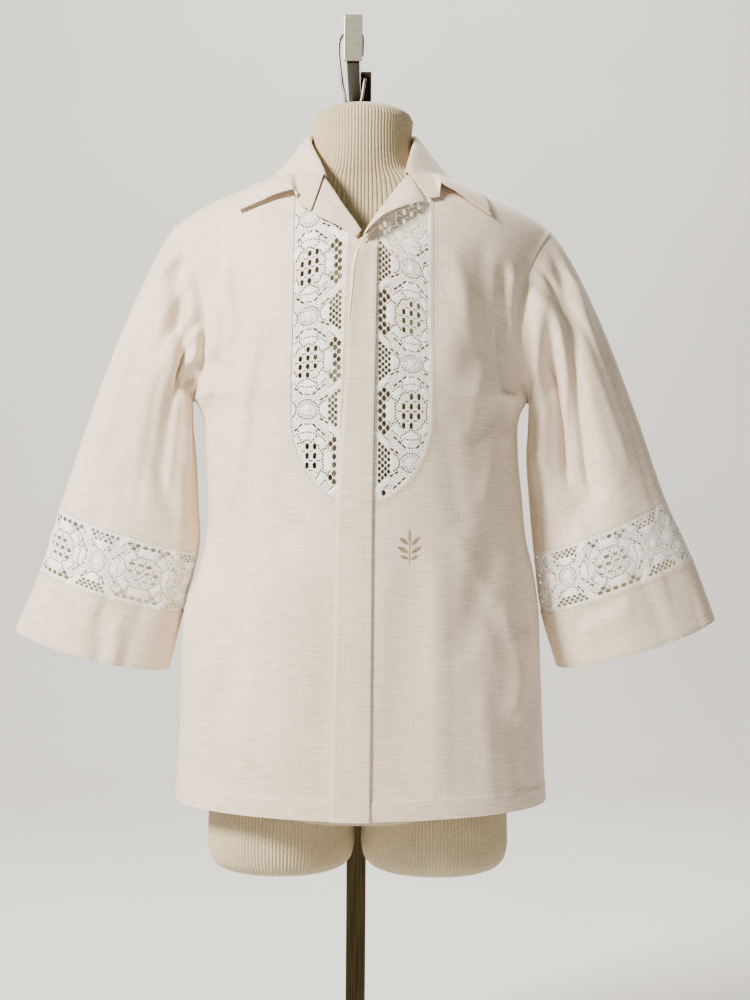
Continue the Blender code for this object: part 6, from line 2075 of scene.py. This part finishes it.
def make_hook():
    keys = np.arange(len(HOOK_ROUTE["x"]), dtype=float)
    line = together(*read(HOOK_ROUTE, "x y z", run(0, keys[-1], 170), keys))
    across = np.tile([0.0, 1.0, 0.0], (len(line), 1))
    up = unit(np.cross(unit(np.gradient(line, axis=0)), across))
    points, faces = wire(line, across, up, HOOK_WIRE / 2, HOOK_SIDES)
    made = add_piece("hook_wire", points, [face[::-1] for face in faces], WIRE)
    stands_for("hook")


# Stitch lines
HEM_STITCH_Z = HEM_Z + HEM_HEIGHT - 0.0012
COLLAR_STITCH_INSET = 0.0055
BIB_STITCHES = ((0.0019, CLOTH_HALF + BIB_ROLL), (0.0058, CLOTH_HALF))
SLEEVE_STITCHES = (
    (LACE_TOP - 0.009, CLOTH_HALF),
    (LACE_BOTTOM + 0.009, CUFF_HALF + CUFF_ROLL),
    (CUFF_BOTTOM - 0.014, CUFF_HALF),
)


def sew_front(side, lots):
    surface = SURFACES["front"]
    across = front_outline(side)[:, 0]
    hem_path = level(run(across.min() + 0.003, across.max() - 0.003, 60), HEM_STITCH_Z)
    lots.append(stitch_points(surface, 1, hem_path, CLOTH_HALF + HEM_TURN))
    hole = bib_outline(side, HALF_SEAM)
    # each line starts under the placket, and stops at the gorge
    for out, lift in BIB_STITCHES:
        lots.append(stitch_points(surface, 1, ring_round(hole, out)[: 2 * BIB_POINTS], lift))


def sew_back(lots):
    surface = SURFACES["back"]
    reach = {side: outer_edge("back", side, np.array([HEM_Z]))[0] - 0.004 for side in (RIGHT, LEFT)}
    path = level(run(-reach[RIGHT], reach[LEFT], 90), HEM_STITCH_Z)
    lots.append(stitch_points(surface, -1, path, CLOTH_HALF + HEM_TURN))


def sew_placket(lots):
    heights = run(PLACKET["height"][0] + 0.002, PLACKET["height"][-1] - 0.006, 120)
    left, seam = placket_edges(heights)
    for across, sunk in ((left + FREE_STITCH, 0), (seam - GROOVE_STITCH, 0), (seam - SEAM_STITCH, GROOVE)):
        path = together(across, heights)
        lots.append(stitch_points(SURFACES["front"], 1, path, lambda a, b: placket_over(a, b) - sunk))


def sew_sleeve(side, lots):
    surface = SLEEVE_SURFACES[side]
    turns = run(0, 2 * np.pi, 200)
    for along, lift in SLEEVE_STITCHES:
        lots.append(stitch_points(surface, side, level(turns, along), lift))


def sew_collar(middle, out, lots):
    """A line of stitches inside the collar's outer edge."""
    line, line_out = [], []
    for column, column_out in zip(middle[:, len(STAND_ROWS):], out[:, len(STAND_ROWS):]):
        reach = reach_along(column)
        at = reach[-1] - COLLAR_STITCH_INSET
        line.append(read_at(at, reach, column))
        line_out.append(read_at(at, reach, column_out))
    line, line_out = np.array(line), unit(np.array(line_out))
    reach = reach_along(line)
    starts = np.arange(COLLAR_STITCH_INSET, reach[-1] - COLLAR_STITCH_INSET, STITCH_STEP)
    away = unit(read_at(starts, reach, line_out))
    ends = [read_at(at, reach, line) + away * COLLAR_HALF for at in (starts, starts + STITCH_LENGTH)]
    lots.append((*ends, away))


def make_stitches(collar_middle, collar_out):
    lots = []
    for side in (RIGHT, LEFT):
        sew_front(side, lots)
        sew_sleeve(side, lots)
    sew_back(lots)
    sew_placket(lots)
    sew_collar(collar_middle, collar_out, lots)
    threads("topstitching", lots, THREAD, more=make_edge_roll())


# A small tan sprig on the wearer's left front, in satin stitch.
SPRIG_ACROSS, SPRIG_HEIGHT = 0.0572, 0.7580
SPRIG_LEAVES = table(
    "across height tilt length width",
    (0, 0.012, 90, 0.0165, 0.008),
    (-0.0066, 0.0062, 140, 0.0135, 0.0068),
    (0.0066, 0.0062, 40, 0.0135, 0.0068),
    (-0.0076, -0.0036, 150, 0.014, 0.0068),
    (0.0076, -0.0036, 30, 0.014, 0.0068),
    (-0.0058, -0.0122, 155, 0.0105, 0.0052),
    (0.0058, -0.0122, 25, 0.0105, 0.0052),
)
SPRIG_STEM = ((0.0, 0.0060), (0.0, -0.0190))
STEM_STITCH = (0.0007, 0.0004)
SATIN_STEP, SATIN_WIDE, SATIN_RISE = 0.00055, 0.0007, 0.0006


def make_sprig():
    starts, ends = [], []
    for across, height, tilt, length, width in rows_of(SPRIG_LEAVES):
        turn = math.radians(tilt)
        way, aside = np.array([math.cos(turn), math.sin(turn)]), np.array([-math.sin(turn), math.cos(turn)])
        for s in np.arange(-0.5 + SATIN_STEP / length, 0.5, SATIN_STEP / length):
            half = width / 2 * math.cos(math.pi * s) ** 0.8
            middle = np.array([across, height]) + way * s * length
            lean = way * 0.35 * half
            starts.append(middle - aside * half - lean)
            ends.append(middle + aside * half + lean)
    top, foot = np.array(SPRIG_STEM)
    for s in np.arange(0, 1, SATIN_STEP / np.linalg.norm(foot - top)):
        middle = top + (foot - top) * s
        starts.append(middle - STEM_STITCH)
        ends.append(middle + STEM_STITCH)
    place = np.array([SPRIG_ACROSS, SPRIG_HEIGHT])
    starts, ends = np.array(starts) + place, np.array(ends) + place
    surface = SURFACES["front"]
    spots = []
    for ends_of in (starts, ends):
        out = normals(surface, 1, *ends_of.T, PROBE)
        spots.append(surface(*ends_of.T) + out * CLOTH_HALF)
    threads("sprig", [(*spots, out)], TAN_THREAD, SATIN_WIDE, SATIN_RISE)


# Finishes of the stand's own solids
def paint(node, finish):
    target = frame["nodes"][node].data.materials
    for i in range(len(target)):
        target[i] = finish


STAGE_FRONT, STAGE_BACK, STAGE_HALF_WIDTH, STAGE_TOP = -6.0, 3.7, 7.0, 6.0
STAGE_CURVE = 0.8
STAGE_DROP = 0.0005


def make_stage():
    """A pale floor that curves up into a pale backdrop."""
    floor, tree, shader = nodes_of("pale floor", (0.80, 0.79, 0.77), 0.85)
    shade = stretched_noise(tree, "Object", (2, 2, 2), 2.0)
    tinted(tree, shader, shade, (0.78, 0.77, 0.75), (0.82, 0.81, 0.79), 0.3, 0.7)
    bend = STAGE_BACK - STAGE_CURVE
    turns = run(0, math.pi / 2, 12)[1:]
    profile = [(STAGE_FRONT, 0.0), (bend, 0.0)]
    profile += [(bend + STAGE_CURVE * math.sin(t), STAGE_CURVE * (1 - math.cos(t))) for t in turns]
    profile.append((STAGE_BACK, STAGE_TOP))
    points = [(side * STAGE_HALF_WIDTH, y, z - STAGE_DROP) for y, z in profile for side in (-1, 1)]
    faces = [(2 * i, 2 * i + 1, 2 * i + 3, 2 * i + 2) for i in range(len(profile) - 1)]
    mesh = bpy.data.meshes.new("stage_floor")
    mesh.from_pydata(points, [], faces)
    mesh.shade_smooth()
    mesh.materials.append(floor)
    made = bpy.data.objects.new("stage_floor", mesh)
    bpy.context.scene.collection.objects.link(made)
    made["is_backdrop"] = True


# The key light from the wearer's right, a weak fill, a light on the back and one on the backdrop
LIGHTS = table(
    "x y z aim_y aim_z size power",
    (-1.82, -1.52, 2.34, 0, 1.02, 0.6, 265),
    (1.9, -1.6, 1.7, 0, 1, 1.2, 7),
    (1.1, 2, 2.5, 0, 1, 1.2, 55),
    (0, 1.6, 3.6, STAGE_BACK, 1.2, 3, 120),
)
LIGHT_TONE = (1.0, 0.945, 0.865)
SKY_TONE = (1.0, 0.965, 0.91)
SKY_STRENGTH = 0.145


def make_lights():
    for i, (x, y, z, aim_y, aim_z, size, power) in enumerate(rows_of(LIGHTS)):
        lamp = bpy.data.lights.new(f"soft light {i}", "AREA")
        lamp.size, lamp.energy, lamp.color = size, power, LIGHT_TONE
        made = bpy.data.objects.new(lamp.name, lamp)
        made.location = (x, y, z)
        aim = Vector((0, aim_y, aim_z)) - made.location
        made.rotation_euler = aim.to_track_quat("-Z", "Y").to_euler()
        bpy.context.scene.collection.objects.link(made)
    world = bpy.data.worlds.new("soft studio")
    world.use_nodes = True
    sky = world.node_tree.nodes["Background"].inputs
    sky["Color"].default_value = (*SKY_TONE, 1)
    sky["Strength"].default_value = SKY_STRENGTH
    bpy.context.scene.world = world


# The camera, read off the photo: its focal length and its pitch are in pixels of a photo this high
PHOTO_HEIGHT = 1000
CAMERA_AT = (0.018, -1.9, 0.765)
CAMERA_FOCAL = 1583.0
CAMERA_PITCH = math.atan2(40, CAMERA_FOCAL)
CAMERA_ROLL = math.radians(0.4)


def make_camera():
    lens = bpy.data.cameras.new("camera")
    lens.sensor_fit = "VERTICAL"
    lens.sensor_height = 36.0
    lens.lens = lens.sensor_height * CAMERA_FOCAL / PHOTO_HEIGHT
    made = bpy.data.objects.new("camera", lens)
    turn = Matrix.Rotation(math.pi / 2 + CAMERA_PITCH, 4, "X") @ Matrix.Rotation(CAMERA_ROLL, 4, "Z")
    made.matrix_world = Matrix.Translation(CAMERA_AT) @ turn
    bpy.context.scene.collection.objects.link(made)
    bpy.context.scene.camera = made


def main():
    make_form()
    for side in (RIGHT, LEFT):
        make_front(side)
        make_bib_lace(side)
    make_back()
    for side in (RIGHT, LEFT):
        make_sleeve(side)
        make_sleeve_lace(side, "front")
        make_sleeve_lace(side, "back")
        make_cuff(side)
    make_placket()
    for side in (RIGHT, LEFT):
        make_lapel(side)
    collar_middle, collar_out = make_collar()
    make_stitches(collar_middle, collar_out)
    make_sprig()
    make_hook()
    # the end plate takes the lighter steel, its painted highlight
    for node, finish in (("post", STEEL), ("base", STEEL), ("arm", STEEL), ("end_plate", LIT_PLATE)):
        paint(node, finish)
    make_stage()
    make_lights()
    make_camera()


main()
boxes = {"cad": cad_box, "visual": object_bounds()}
{name: [list(map(float, corner)) for corner in box] for name, box in boxes.items()}
